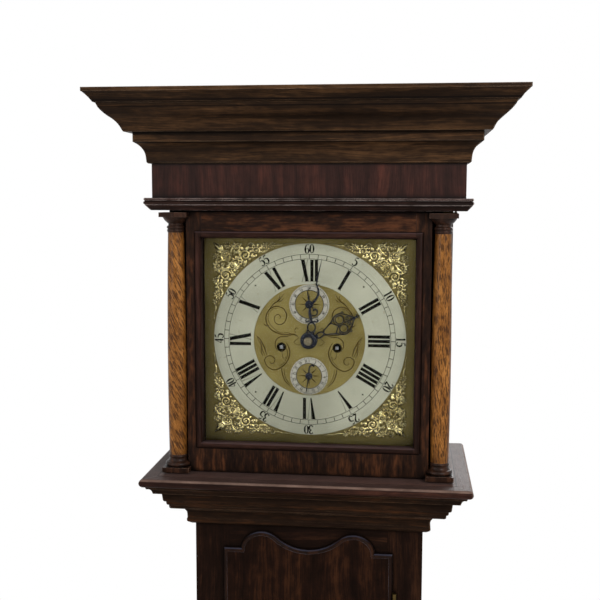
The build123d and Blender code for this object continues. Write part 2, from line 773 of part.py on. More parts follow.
pillar_places = [(-pillar_x, pillar_low), (0, pillar_low), (pillar_x, pillar_low),
                 (left_top_pillar_x, pillar_high), (pillar_x, pillar_high)]
dial_feet_places = [(x, z) for x in (-62.0, 62.0) for z in (-44.0, 88.0)]
with BuildPart() as movement_pillars:
    for x, rise in pillar_places:
        rod(x, dial_centre_z + rise, plates_inside, back_plate_y, pillar_radius)
    for x, rise in dial_feet_places:
        rod(x, dial_centre_z + rise, dial_back, front_plate_y, 3.5)
save("movement_pillars", movement_pillars.part)

cock_back = pendulum_y + 5.0
cock_foot = pallet_z + 5.0
cock_ear_front = 90.0
cock_ear_back = 92.0
back_plate_face = back_plate_y + plate_thickness
with BuildPart() as backcock:
    block(-22, 22, back_plate_face, back_plate_face + plate_thickness, cock_foot, cock_foot + 19.0)
    block(-9, 9, back_plate_face, cock_back, cock_foot, cock_foot + 6.0)
    block(-8, 8, cock_ear_front, cock_ear_back, pallet_z - 6.0, pallet_z + 6.0)
    rod(0, pallet_z, cock_ear_front - 1.0, cock_ear_back + 1.0, pivot_bore + play, Mode.SUBTRACT)
save("movement_plates", movement_plates.part, backcock.part)

bell_radius = 46.0
bell_mouth = dial_centre_z + 116.0
bell_height = 30.0
bell_wall = 2.2
bell_y = 45.0
bell_plane = Plane(origin=(0, bell_y, bell_mouth), x_dir=(1, 0, 0), z_dir=(0, -1, 0))
with BuildPart() as bell:
    with BuildSketch(bell_plane):
        with BuildLine():
            Line((bell_radius, 0), (bell_radius - bell_wall, 0))
            Spline((bell_radius - bell_wall, 0), (bell_radius - 9.0, bell_height * 0.55),
                   (3.6, bell_height - bell_wall), tangents=((-0.3, 1), (-1, 0)))
            Line((3.6, bell_height - bell_wall), (3.6, bell_height))
            Spline((3.6, bell_height), (bell_radius - 7.0, bell_height * 0.62), (bell_radius, 0),
                   tangents=((1, 0), (0.3, -1)))
        make_face()
    revolve(axis=Axis((0, bell_y, 0), (0, 0, 1)))
stand_half = 5.0
stand_top = bell_mouth - 3.0
with BuildPart() as bell_stand:
    block(-stand_half, stand_half, bell_y - stand_half, back_plate_face + plate_thickness,
          stand_top - 3.0, stand_top)
    block(-stand_half, stand_half, back_plate_face, back_plate_face + plate_thickness,
          pallet_z + 25.0, stand_top)
    post(0, bell_y, stand_top - 3.0, bell_mouth + bell_height + 6.0, 3.0)
    post(0, bell_y, bell_mouth + bell_height + 0.1, bell_mouth + bell_height + 5.0, 6.0)
save("bell", bell.part, bell_stand.part)

# Wheelwork. Teeth, bores and crossings have flat faces.


def tooth_outline(teeth, module, phase=0.0):
    """Corner points of a wheel with straight-sided teeth."""
    pitch = teeth * module / 2
    root = pitch - 1.1 * module
    tip = pitch + 0.75 * module
    step = 2 * pi / teeth
    points = []
    for tooth in range(teeth):
        middle = tooth * step + phase
        for radius, shift in ((root, -0.30), (tip, -0.10), (tip, 0.10), (root, 0.30)):
            angle = middle + shift * step
            points.append((radius * cos(angle), radius * sin(angle)))
    return points


def crossing_points(inner, outer, arms, arm, gap):
    """Corner points of the window between two arms."""
    start = arm * 2 * pi / arms
    stop = (arm + 1) * 2 * pi / arms
    points = []
    for radius, order in ((outer, range(0, 7)), (inner, range(6, -1, -1))):
        lean = gap / radius
        for k in order:
            angle = start + lean + (stop - start - 2 * lean) * k / 6
            points.append((radius * cos(angle), radius * sin(angle)))
    return points


def wheel(at, teeth, module, y, thickness, bore, arms=4, phase=0.0):
    """Crossed-out wheel at a point of the dial plane, in the open builder."""
    x, rise = at
    centre = Plane(origin=(x, y + thickness, dial_centre_z + rise), x_dir=(1, 0, 0), z_dir=(0, -1, 0))
    pitch = teeth * module / 2
    rim = pitch - 3.4 * module
    with BuildSketch(centre) as outline:
        Polygon(*tooth_outline(teeth, module, phase), align=None)
        RegularPolygon(bore, 24, mode=Mode.SUBTRACT)
        if arms and rim > bore + 6.0:
            for arm in range(arms):
                Polygon(*crossing_points(bore + 3.5, rim, arms, arm, 1.6), align=None, mode=Mode.SUBTRACT)
    extrude(outline.sketch, amount=thickness)


def pinion(at, leaves, module, y, length, bore, phase=0.0):
    """Solid pinion at a point of the dial plane, in the open builder."""
    x, rise = at
    centre = Plane(origin=(x, y + length, dial_centre_z + rise), x_dir=(1, 0, 0), z_dir=(0, -1, 0))
    pitch = leaves * module / 2
    with BuildSketch(centre) as outline:
        points = []
        for leaf in range(leaves):
            middle = (leaf + 0.5) * 2 * pi / leaves + phase
            for radius, shift in ((pitch - 1.35 * module, -0.22), (pitch + 0.45 * module, -0.09),
                                  (pitch + 0.45 * module, 0.09), (pitch - 1.35 * module, 0.22)):
                angle = middle + shift * 2 * pi / leaves
                points.append((radius * cos(angle), radius * sin(angle)))
        Polygon(*points, align=None)
        RegularPolygon(bore, 12, mode=Mode.SUBTRACT)
    extrude(outline.sketch, amount=length)


def distance(a, b):
    return hypot(a[0] - b[0], a[1] - b[1])


def direction(a, b):
    """Angle of the line from a to b."""
    return atan2(b[1] - a[1], b[0] - a[0])


def mesh_phase(driver, driver_teeth, driver_phase, driven, driven_leaves):
    """Turn of the driven wheel that puts a gap opposite the driver's tooth."""
    line = direction(driver, driven)
    past = ((line - driver_phase) * driver_teeth / (2 * pi)) % 1.0
    back = direction(driven, driver)
    return back - (0.5 - past) * 2 * pi / driven_leaves


def pinion_phase(driver, driver_teeth, driver_phase, driven, leaves):
    return mesh_phase(driver, driver_teeth, driver_phase, driven, leaves) - pi / leaves


centre_at = (0.0, 0.0)
escape_at = (0.0, seconds_rise)
going_at = (winding_x, -winding_drop)
strike_at = (-winding_x, -winding_drop)
wheel_thickness = 2.0
great_y = 54.0
great_thickness = 3.0
great_teeth = 96
centre_leaves = 8
great_module = distance(going_at, centre_at) / ((great_teeth + centre_leaves) / 2)
centre_teeth = 60
third_leaves = 8
centre_module = distance(centre_at, third_at) / ((centre_teeth + third_leaves) / 2)
third_teeth = 56
escape_leaves = 7
third_module = distance(third_at, escape_at) / ((third_teeth + escape_leaves) / 2)
centre_wheel_y = 13.0
third_wheel_y = 66.0
escape_wheel_y = 58.0
escape_teeth = 30
escape_radius = 18.0
arbor_front = front_plate_y + 0.5
arbor_back = back_plate_face - 0.5
arbor_radius = 1.2
arbor_bore = 1.55

great_phase = 0.0
centre_phase = pinion_phase(going_at, great_teeth, great_phase, centre_at, centre_leaves)
third_phase = pinion_phase(centre_at, centre_teeth, 0.0, third_at, third_leaves)
escape_phase = pinion_phase(third_at, third_teeth, 0.0, escape_at, escape_leaves)

with BuildPart() as great_wheel:
    wheel(going_at, great_teeth, great_module, great_y, great_thickness, barrel_arbor + 0.6)
save("going_great_wheel", great_wheel.part)

with BuildPart() as centre_wheel_disc:
    wheel(centre_at, centre_teeth, centre_module, centre_wheel_y, wheel_thickness, centre_arbor + 0.3)
with BuildPart() as centre_pinion:
    pinion(centre_at, centre_leaves, great_module, great_y - 1.0, 5.0, centre_arbor - 0.2, centre_phase)
    rod(0, dial_centre_z, -40.0, arbor_back, centre_arbor - 0.35)
save("centre_wheel", centre_wheel_disc.part, centre_pinion.part)

with BuildPart() as third_wheel_disc:
    wheel(third_at, third_teeth, third_module, third_wheel_y, wheel_thickness, arbor_bore)
with BuildPart() as third_pinion:
    pinion(third_at, third_leaves, centre_module, centre_wheel_y - 1.0, 5.0, arbor_bore, third_phase)
with BuildPart() as third_arbor:
    rod(third_at[0], dial_centre_z + third_at[1], arbor_front, arbor_back, arbor_radius)
save("third_wheel", third_wheel_disc.part, third_pinion.part, third_arbor.part)


def escape_outline():
    """Thirty hooked teeth, radial on the front and sloped behind."""
    points = []
    for tooth in range(escape_teeth):
        start = tooth * 2 * pi / escape_teeth
        for radius, share in ((escape_radius - 5.0, 0.0), (escape_radius, 0.05),
                              (escape_radius, 0.10), (escape_radius - 5.0, 0.55)):
            angle = start + share * 2 * pi / escape_teeth
            points.append((radius * cos(angle), radius * sin(angle)))
    return points


with BuildPart() as escape_wheel_disc:
    with BuildSketch(Plane(origin=(0, escape_wheel_y + 1.5, dial_centre_z + seconds_rise),
                           x_dir=(1, 0, 0), z_dir=(0, -1, 0))):
        Polygon(*escape_outline(), align=None)
        RegularPolygon(arbor_bore, 24, mode=Mode.SUBTRACT)
        for arm in range(4):
            Polygon(*crossing_points(4.5, escape_radius - 7.5, 4, arm, 1.2), align=None, mode=Mode.SUBTRACT)
    extrude(amount=1.5)
with BuildPart() as escape_pinion:
    pinion(escape_at, escape_leaves, third_module, third_wheel_y - 1.0, 4.0, arbor_bore, escape_phase)
with BuildPart() as escape_arbor:
    rod(0, dial_centre_z + seconds_rise, dial_front - 3.5, arbor_back, arbor_radius)
save("escape_wheel", escape_wheel_disc.part, escape_pinion.part, escape_arbor.part)

# Motion work behind the dial

motion_teeth = 36
motion_y = 1.0
motion_module = distance(centre_at, minute_at) / motion_teeth
hour_teeth = 72
hour_leaves = 6
hour_module = distance(centre_at, minute_at) / ((hour_teeth + hour_leaves) / 2)
hour_wheel_y = -6.0
cannon_radius = 3.4
hour_pipe_inner = 3.9
hour_pipe_outer = 5.4
hour_hand_y = -37.4
minute_hand_y = -43.4
hand_thickness = 1.2

motion_phase = mesh_phase(centre_at, motion_teeth, 0.0, minute_at, motion_teeth)
hour_pinion_phase = pinion_phase(centre_at, hour_teeth, 0.0, minute_at, hour_leaves)

with BuildPart() as cannon_pipe:
    rod(0, dial_centre_z, minute_hand_y - 1.0, front_plate_y - play, cannon_radius)
    rod(0, dial_centre_z, minute_hand_y - 2.0, front_plate_y, centre_arbor, Mode.SUBTRACT)
with BuildPart() as cannon_wheel:
    wheel(centre_at, motion_teeth, motion_module, motion_y, wheel_thickness, cannon_radius + 0.3, arms=0)
save("cannon_wheel", cannon_pipe.part, cannon_wheel.part)

with BuildPart() as minute_wheel_disc:
    wheel(minute_at, motion_teeth, motion_module, motion_y, wheel_thickness, arbor_bore, arms=0,
          phase=motion_phase)
with BuildPart() as minute_pinion:
    pinion(minute_at, hour_leaves, hour_module, hour_wheel_y - 1.0, motion_y - hour_wheel_y + 0.5,
           1.15, hour_pinion_phase)
with BuildPart() as minute_arbor:
    rod(minute_at[0], dial_centre_z + minute_at[1], motion_y - 0.3, front_plate_y - play, arbor_radius)
save("minute_wheel", minute_wheel_disc.part, minute_pinion.part, minute_arbor.part)

with BuildPart() as hour_pipe:
    rod(0, dial_centre_z, hour_hand_y - 1.0, hour_wheel_y + wheel_thickness + 1.0, hour_pipe_outer)
    rod(0, dial_centre_z, hour_hand_y - 2.0, hour_wheel_y + wheel_thickness + 2.0, hour_pipe_inner,
        Mode.SUBTRACT)
with BuildPart() as hour_wheel_disc:
    wheel(centre_at, hour_teeth, hour_module, hour_wheel_y, wheel_thickness, hour_pipe_outer + 0.3)
save("hour_wheel", hour_pipe.part, hour_wheel_disc.part)

# Hands, each lying along its own direction at the time shown

minute_angle = 9.7
hour_angle = 62.5
seconds_angle = -7.5
date_angle = 191.0
minute_length = 118.0
hour_length = 82.0


def hand_plane(z, y, clock_angle):
    """Plane of a hand: its local Y points along the hand, clockwise from twelve."""
    lean = clock_angle * pi / 180
    return Plane(origin=(0, y, z), x_dir=(cos(lean), 0, -sin(lean)), z_dir=(0, -1, 0))


def bossed_hand(plane, boss, hole, stations, thickness=hand_thickness):
    """Flat hand: a round boss with a blade whose half width follows the stations."""
    left = [(-half, along) for along, half in stations]
    right = [(half, along) for along, half in reversed(stations)]
    with BuildSketch(plane) as outline:
        Circle(boss)
        Polygon(*left, *right, align=None)
        Circle(hole, mode=Mode.SUBTRACT)
    extrude(outline.sketch, amount=thickness)


with BuildPart() as minute_blade:
    bossed_hand(hand_plane(dial_centre_z, minute_hand_y + hand_thickness, minute_angle), 11.0,
                cannon_radius + 0.05,
                ((8.0, 3.5), (30.0, 5.5), (40.0, 2.5), (60.0, 2.5), (86.0, 2.5), (minute_length, 0.8)))
with BuildPart() as minute_collet:
    rod(0, dial_centre_z, minute_hand_y - 3.2, minute_hand_y - 1.1, 6.2)
save("minute_hand", minute_blade.part, minute_collet.part)

with BuildPart() as hour_blade:
    bossed_hand(hand_plane(dial_centre_z, hour_hand_y + hand_thickness, hour_angle), 12.0,
                hour_pipe_outer + 0.05,
                ((9.0, 3.5), (24.0, 3.0), (42.0, 9.0), (52.5, 13.0), (64.0, 7.0), (73.0, 2.0),
                 (hour_length, 0.8)))
save("hour_hand", hour_blade.part)

with BuildPart() as seconds_hand:
    bossed_hand(hand_plane(dial_centre_z + seconds_rise, dial_front - 2.2, seconds_angle), 5.0,
                arbor_radius + 0.05, ((3.0, 1.2), (12.0, 0.9), (20.5, 0.5)), thickness=0.8)
save("seconds_hand", seconds_hand.part)

with BuildPart() as date_blade:
    bossed_hand(hand_plane(dial_centre_z - date_drop, dial_front - 2.2, date_angle), 5.0, 1.7,
                ((-17.0, 1.6), (-3.0, 1.4), (3.0, 1.4), (18.0, 0.7)), thickness=0.8)
with BuildPart() as date_arbor:
    rod(0, dial_centre_z - date_drop, dial_front - 3.5, dial_back + 5.0, 1.6)
save("date_hand", date_blade.part, date_arbor.part)

date_teeth = 62
with BuildPart() as date_wheel:
    wheel((0.0, -date_drop), date_teeth, 0.7, dial_back + 1.0, 1.5, 1.95)
save("date_wheel", date_wheel.part)

# Barrels, lines and weights


drum_front = 19.0
drum_back = 51.0
drum_cap = 2.0
cap_radius = barrel_radius + 2.8
square_half = 2.3
square_back = 9.0


def barrel(x):
    """Line barrel with its end plates, arbor and winding square."""
    with BuildPart() as drum:
        rod(x, winding_z, drum_front, drum_back, barrel_radius)
        rod(x, winding_z, drum_front - drum_cap, drum_front, cap_radius)
        rod(x, winding_z, drum_back, drum_back + drum_cap, cap_radius)
        rod(x, winding_z, square_back, arbor_back, barrel_arbor)
        block(x - square_half, x + square_half, dial_front + 0.4, square_back,
              winding_z - square_half, winding_z + square_half)
    return drum.part


save("going_barrel", barrel(winding_x))
save("strike_barrel", barrel(-winding_x))


strap_half = 5.0
strap_reach = 7.5
strap_thickness = 2.0


def weight(x):
    """Lead weight in a brass shell with its hook, strap and pulley."""
    top = weight_bottom + weight_height
    with BuildPart() as body:
        post(x, line_y, weight_bottom, top, weight_radius)
        fillet(body.edges().filter_by(GeomType.CIRCLE), 3.0)
        post(x, line_y, top - 1.0, top + 6.0, 4.0)
        block(x - strap_half, x + strap_half, line_y - strap_reach, line_y + strap_reach,
              top + 5.0, top + 8.0)
        for y in (line_y - strap_reach, line_y + strap_reach - strap_thickness):
            block(x - strap_half, x + strap_half, y, y + strap_thickness, top + 5.0, pulley_z + strap_half)
        rod(x, pulley_z, line_y - strap_reach, line_y + strap_reach, 2.0)
    with BuildPart() as sheave:
        with BuildSketch(Plane(origin=(x, line_y, pulley_z), x_dir=(1, 0, 0), z_dir=(0, 0, 1))):
            with BuildLine():
                Polyline((2.3, -4.0), (22.5, -4.0), (22.5, -2.6), (18.6, -1.2), (18.6, 1.2),
                         (22.5, 2.6), (22.5, 4.0), (2.3, 4.0), (2.3, -4.0))
            make_face()
        revolve(axis=Axis((x, 0, pulley_z), (0, 1, 0)))
    return body.part, sheave.part


save("going_weight", *weight(going_weight_x))
save("strike_weight", *weight(strike_weight_x))


def line_strands(x):
    """The two hanging strands from the pulley up to the seatboard."""
    with BuildPart() as strands:
        for offset_x in (-pulley_radius, pulley_radius):
            post(x + offset_x, line_y, pulley_z, seatboard_bottom, line_radius)
    return strands.part


save("going_line", line_strands(going_weight_x))
save("strike_line", line_strands(strike_weight_x))

# The lines leave the left of each barrel, so both are wound clockwise
lead_places = [x - pulley_radius for x in (going_weight_x, strike_weight_x)]
return_places = [x + pulley_radius for x in (going_weight_x, strike_weight_x)]
knot_height = 4.0
knot_radius = 3.0
line_slot_radius = 5.0
with BuildPart() as line_leads:
    for x in lead_places:
        post(x, line_y, seatboard_bottom, winding_z, line_radius)
    for x in return_places:
        post(x, line_y, seatboard_bottom, seatboard_top, line_radius)
        post(x, line_y, seatboard_top, seatboard_top + knot_height, knot_radius)
save("line_leads", line_leads.part)

with BuildPart() as seatboard:
    block(-trunk_half, trunk_half, seatboard_front, seatboard_back, seatboard_bottom, seatboard_top)
    for x in lead_places:
        post(x, line_y, seatboard_bottom, seatboard_top, line_slot_radius, Mode.SUBTRACT)
    for x in return_places:
        post(x, line_y, seatboard_bottom, seatboard_top, line_radius + 0.2, Mode.SUBTRACT)
save("seatboard", seatboard.part)

# Strike train

strike_teeth = 78
pin_leaves = 8
strike_module = distance(strike_at, pin_at) / ((strike_teeth + pin_leaves) / 2)
pin_teeth = 56
gathering_leaves = 7
pin_module = distance(pin_at, gathering_at) / ((pin_teeth + gathering_leaves) / 2)
gathering_teeth = 49
warning_leaves = 7
gathering_module = distance(gathering_at, warning_at) / ((gathering_teeth + warning_leaves) / 2)
warning_teeth = 48
fly_leaves = 6
warning_module = distance(warning_at, fly_at) / ((warning_teeth + fly_leaves) / 2)
pin_wheel_y = 62.0
gathering_wheel_y = 40.0
warning_wheel_y = 30.0
lifting_pins = 8
slim_arbor = 0.85
slim_bore = 1.15
fly_arbor = 0.5
fly_bore = 0.7
pin_circle = 16.5

pin_phase = pinion_phase(strike_at, strike_teeth, 0.0, pin_at, pin_leaves)
gathering_phase = pinion_phase(pin_at, pin_teeth, 0.0, gathering_at, gathering_leaves)
warning_phase = pinion_phase(gathering_at, gathering_teeth, 0.0, warning_at, warning_leaves)
fly_phase = pinion_phase(warning_at, warning_teeth, 0.0, fly_at, fly_leaves)

with BuildPart() as strike_great_wheel:
    wheel(strike_at, strike_teeth, strike_module, great_y, great_thickness, barrel_arbor + 0.6)
save("strike_great_wheel", strike_great_wheel.part)


def strike_arbor(at, radius=arbor_radius):
    """Steel arbor between the plates."""
    with BuildPart() as arbor:
        rod(at[0], dial_centre_z + at[1], arbor_front, arbor_back, radius)
    return arbor.part


with BuildPart() as pin_wheel_disc:
    wheel(pin_at, pin_teeth, pin_module, pin_wheel_y, wheel_thickness, arbor_bore)
    for pin in range(lifting_pins):
        angle = (pin + 0.5) * 2 * pi / lifting_pins
        x = pin_at[0] + (pin_circle + 2.6) * cos(angle)
        z = dial_centre_z + pin_at[1] + (pin_circle + 2.6) * sin(angle)
        block(x - 0.7, x + 0.7, pin_wheel_y + wheel_thickness, pin_wheel_y + 6.0, z - 0.7, z + 0.7)
with BuildPart() as pin_pinion:
    pinion(pin_at, pin_leaves, strike_module, great_y - 1.0, 5.0, arbor_bore, pin_phase)
save("pin_wheel", pin_wheel_disc.part, pin_pinion.part, strike_arbor(pin_at))

with BuildPart() as gathering_wheel_disc:
    wheel(gathering_at, gathering_teeth, gathering_module, gathering_wheel_y, wheel_thickness, arbor_bore)
with BuildPart() as gathering_pinion:
    pinion(gathering_at, gathering_leaves, pin_module, pin_wheel_y - 1.0, 4.0, arbor_bore, gathering_phase)
save("gathering_wheel", gathering_wheel_disc.part, gathering_pinion.part, strike_arbor(gathering_at))

with BuildPart() as warning_wheel_disc:
    wheel(warning_at, warning_teeth, warning_module, warning_wheel_y, wheel_thickness, slim_bore)
with BuildPart() as warning_pinion:
    pinion(warning_at, warning_leaves, gathering_module, gathering_wheel_y - 1.0, 4.0, slim_bore,
           warning_phase)
save("warning_wheel", warning_wheel_disc.part, warning_pinion.part, strike_arbor(warning_at, slim_arbor))

fly_reach = 13.0
with BuildPart() as fly_pinion:
    pinion(fly_at, fly_leaves, warning_module, warning_wheel_y - 1.0, 4.0, fly_bore, fly_phase)
with BuildPart() as fly_vane:
    block(fly_at[0] - fly_reach, fly_at[0] + fly_reach, 14.0, 27.0,
          dial_centre_z + fly_at[1] - 0.3, dial_centre_z + fly_at[1] + 0.3)
    rod(fly_at[0], dial_centre_z + fly_at[1], arbor_front, arbor_back, fly_arbor)
save("fly", fly_pinion.part, fly_vane.part)

hammer_x, hammer_rise = hammer_at
hammer_z = dial_centre_z + hammer_rise
hub_radius = 3.0
stem_half = 1.5
tail_y = pin_wheel_y + 4.0
with BuildPart() as hammer:
    rod(hammer_x, hammer_z, arbor_front, arbor_back, arbor_radius)
    rod(hammer_x, hammer_z, bell_y - 3.0, bell_y + 3.0, hub_radius)
    block(hammer_x - stem_half, hammer_x + stem_half, bell_y - stem_half, bell_y + stem_half,
          hammer_z, bell_mouth + 4.0)
    block(hammer_x - stem_half, -bell_radius - 4.0, bell_y - 5.0, bell_y + 5.0,
          bell_mouth - 4.0, bell_mouth + 7.0)
    rod(hammer_x, hammer_z, tail_y - 2.0, tail_y + 4.0, hub_radius)
    block(hammer_x, pin_at[0] - pin_circle - 5.5, tail_y, tail_y + 2.5, hammer_z - 1.0, hammer_z + 1.0)
save("hammer", hammer.part)

# Pendulum, pallets and crutch

fork_z = pallet_z - 126.0
fork_half = 3.0
crutch_y = 82.0
crutch_thickness = 2.0
escape_top = pallet_z - pallet_rise + seconds_rise + escape_radius
with BuildPart() as pallets:
    rod(0, pallet_z, arbor_front, cock_ear_back + 1.5, arbor_radius)
    rod(0, pallet_z, escape_wheel_y - 2.0, escape_wheel_y + 3.5, hub_radius)
    for side in (-1, 1):
        with BuildSketch(front_plane(escape_wheel_y + 1.5)):
            Polygon((0, pallet_z + 2.5), (side * 15.0, pallet_z - 7.0),
                    (side * 16.5, escape_top - 6.5), (side * 12.5, escape_top - 2.0),
                    (side * 10.5, pallet_z - 6.0), (0, pallet_z - 2.5), align=None)
        extrude(amount=1.5)
    block(-2, 2, crutch_y, crutch_y + crutch_thickness, fork_z, pallet_z)
    rod(0, pallet_z, crutch_y - 2.0, crutch_y + 4.0, hub_radius + 0.5)
    for prong in (-3.9, 3.9):
        block(prong - 1.2, prong + 1.2, crutch_y, pendulum_y + 5.0, fork_z - fork_half, fork_z + fork_half)
    block(-5, 5, crutch_y, crutch_y + crutch_thickness, fork_z - fork_half, fork_z + fork_half)
save("pallets", pallets.part)

bob_z = pallet_z - pendulum_length
with BuildPart() as pendulum_rod:
    block(-5.0, 5.0, pendulum_y - 0.3, pendulum_y + 0.3, pallet_z - 25.0, pallet_z + 4.4)
    block(-5.0, 5.0, pendulum_y - 2.5, pendulum_y + 2.5, pallet_z - 34.0, pallet_z - 22.0)
    post(0, pendulum_y, bob_z - bob_radius - 16.0, pallet_z - 30.0, rod_radius)
    post(0, pendulum_y, bob_z - bob_radius - 10.0, bob_z - bob_radius - 2.0, 8.0)
save("pendulum_rod", pendulum_rod.part)

with BuildPart() as pendulum_bob:
    with BuildSketch(Plane(origin=(0, pendulum_y, bob_z), x_dir=(1, 0, 0), z_dir=(0, 0, 1))):
        with BuildLine():
            Polyline((0, bob_thickness / 2), (0, -bob_thickness / 2))
            ThreePointArc((0, -bob_thickness / 2), (bob_radius * 0.72, -bob_thickness * 0.26),
                          (bob_radius, -1.0))
            Line((bob_radius, -1.0), (bob_radius, 1.0))
            ThreePointArc((bob_radius, 1.0), (bob_radius * 0.72, bob_thickness * 0.26),
                          (0, bob_thickness / 2))
        make_face()
    revolve(axis=Axis((0, 0, bob_z), (0, 1, 0)))
    post(0, pendulum_y, bob_z - bob_radius - 1, bob_z + bob_radius + 1, rod_radius + 0.2, Mode.SUBTRACT)
save("pendulum_bob", pendulum_bob.part)
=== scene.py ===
from functools import partial, partialmethod, reduce
from math import cos, hypot, pi, radians, sin

import bmesh
import bpy
from mathutils import Matrix, Vector


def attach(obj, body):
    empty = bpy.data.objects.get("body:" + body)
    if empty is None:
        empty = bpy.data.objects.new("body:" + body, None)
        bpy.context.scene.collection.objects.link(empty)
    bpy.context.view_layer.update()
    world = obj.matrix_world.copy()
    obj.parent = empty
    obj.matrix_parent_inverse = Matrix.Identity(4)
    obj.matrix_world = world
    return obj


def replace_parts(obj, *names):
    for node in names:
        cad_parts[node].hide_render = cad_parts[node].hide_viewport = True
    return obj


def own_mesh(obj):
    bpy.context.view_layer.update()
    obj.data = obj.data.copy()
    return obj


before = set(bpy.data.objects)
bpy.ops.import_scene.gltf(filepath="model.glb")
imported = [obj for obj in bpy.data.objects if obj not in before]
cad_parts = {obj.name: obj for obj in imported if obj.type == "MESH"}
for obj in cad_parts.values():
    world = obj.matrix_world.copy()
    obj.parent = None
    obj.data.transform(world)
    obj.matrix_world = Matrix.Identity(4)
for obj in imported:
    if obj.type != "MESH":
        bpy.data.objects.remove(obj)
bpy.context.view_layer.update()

# Sizes in millimetres, in the clock's own frame: X right, Y back, Z up
MM = 0.001
DIAL_Z = 1656
SECONDS_Z = DIAL_Z + 51
DATE_Z = DIAL_Z - 52
WINDING_X = 40
WINDING_Z = DIAL_Z - 11
PLATE_Y = -30
RING_Y = -31.5
TRUNK_HALF = 164.8
TRUNK_FRONT = -42
TRUNK_STILE = 115
FRIEZE_HALF = 214.6
FRIEZE_FRONT = -73.5
BASE_HALF = 209.8
BASE_FRONT = -87
NOSE_START = 44
VENEER_JOINT = 145
MASK_OPENING = 150.5
COLUMN_X = 186
COLUMN_Y = -55.6
COLUMN_MIDDLE = 1650.5
COLUMN_RADIUS = 13
BOB_Z = 741
SIGHT = (149, 1511.3, 1801)  # half width, bottom and top of the hood door's opening


# Shader writing


def plug(tree, value, socket):
    """Feed a socket with a wire, a number or a colour."""
    if isinstance(value, Wire):
        tree.links.new(value.socket, socket)
    else:
        socket.default_value = paint(value)


def add_node(tree, kind, values=None, settings=None, out=0):
    """A new node, settings first and inputs after, as a wire from one output."""
    made = tree.nodes.new(kind)
    for label, value in (settings or {}).items():
        setattr(made, label, value)
    for label, value in (values or {}).items():
        plug(tree, value, made.inputs[label])
    return made if out is None else Wire(tree, made.outputs[out])


class Wire:
    """A value in a node tree that takes part in sums."""

    def __init__(self, tree, socket):
        self.tree = tree
        self.socket = socket

    def maths(self, operation, *others):
        return add_node(self.tree, "ShaderNodeMath", dict(enumerate((self, *others))),
                        {"operation": operation})

    def __rsub__(self, other):
        return self * -1 + other

    __add__ = __radd__ = partialmethod(maths, "ADD")
    __mul__ = __rmul__ = partialmethod(maths, "MULTIPLY")
    __sub__ = partialmethod(maths, "SUBTRACT")
    __truediv__ = partialmethod(maths, "DIVIDE")
    size = partialmethod(maths, "ABSOLUTE")
    larger = partialmethod(maths, "MAXIMUM")
    wave = partialmethod(maths, "SINE")

    def above(self, edge, soft=0.001):
        """1 where the value is past the edge, 0 before it."""
        values = dict(enumerate((self, edge - soft, edge + soft, 0, 1)))
        return add_node(self.tree, "ShaderNodeMapRange", values, {"interpolation_type": "SMOOTHSTEP"})

    def below(self, edge, soft=0.001):
        return 1 - self.above(edge, soft)

    def near(self, middle, reach, soft=0.001):
        """1 within reach of the middle value."""
        return (self - middle).size().below(reach, soft)


def largest(wires):
    return reduce(Wire.larger, wires)


def paint(value):
    """Three channels from 0 to 255 made ready for a socket; other values as they are."""
    if not isinstance(value, tuple) or len(value) != 3:
        return value
    shares = [channel / 255 for channel in value]
    return (*(s / 12.92 if s <= 0.04045 else ((s + 0.055) / 1.055) ** 2.4 for s in shares), 1)


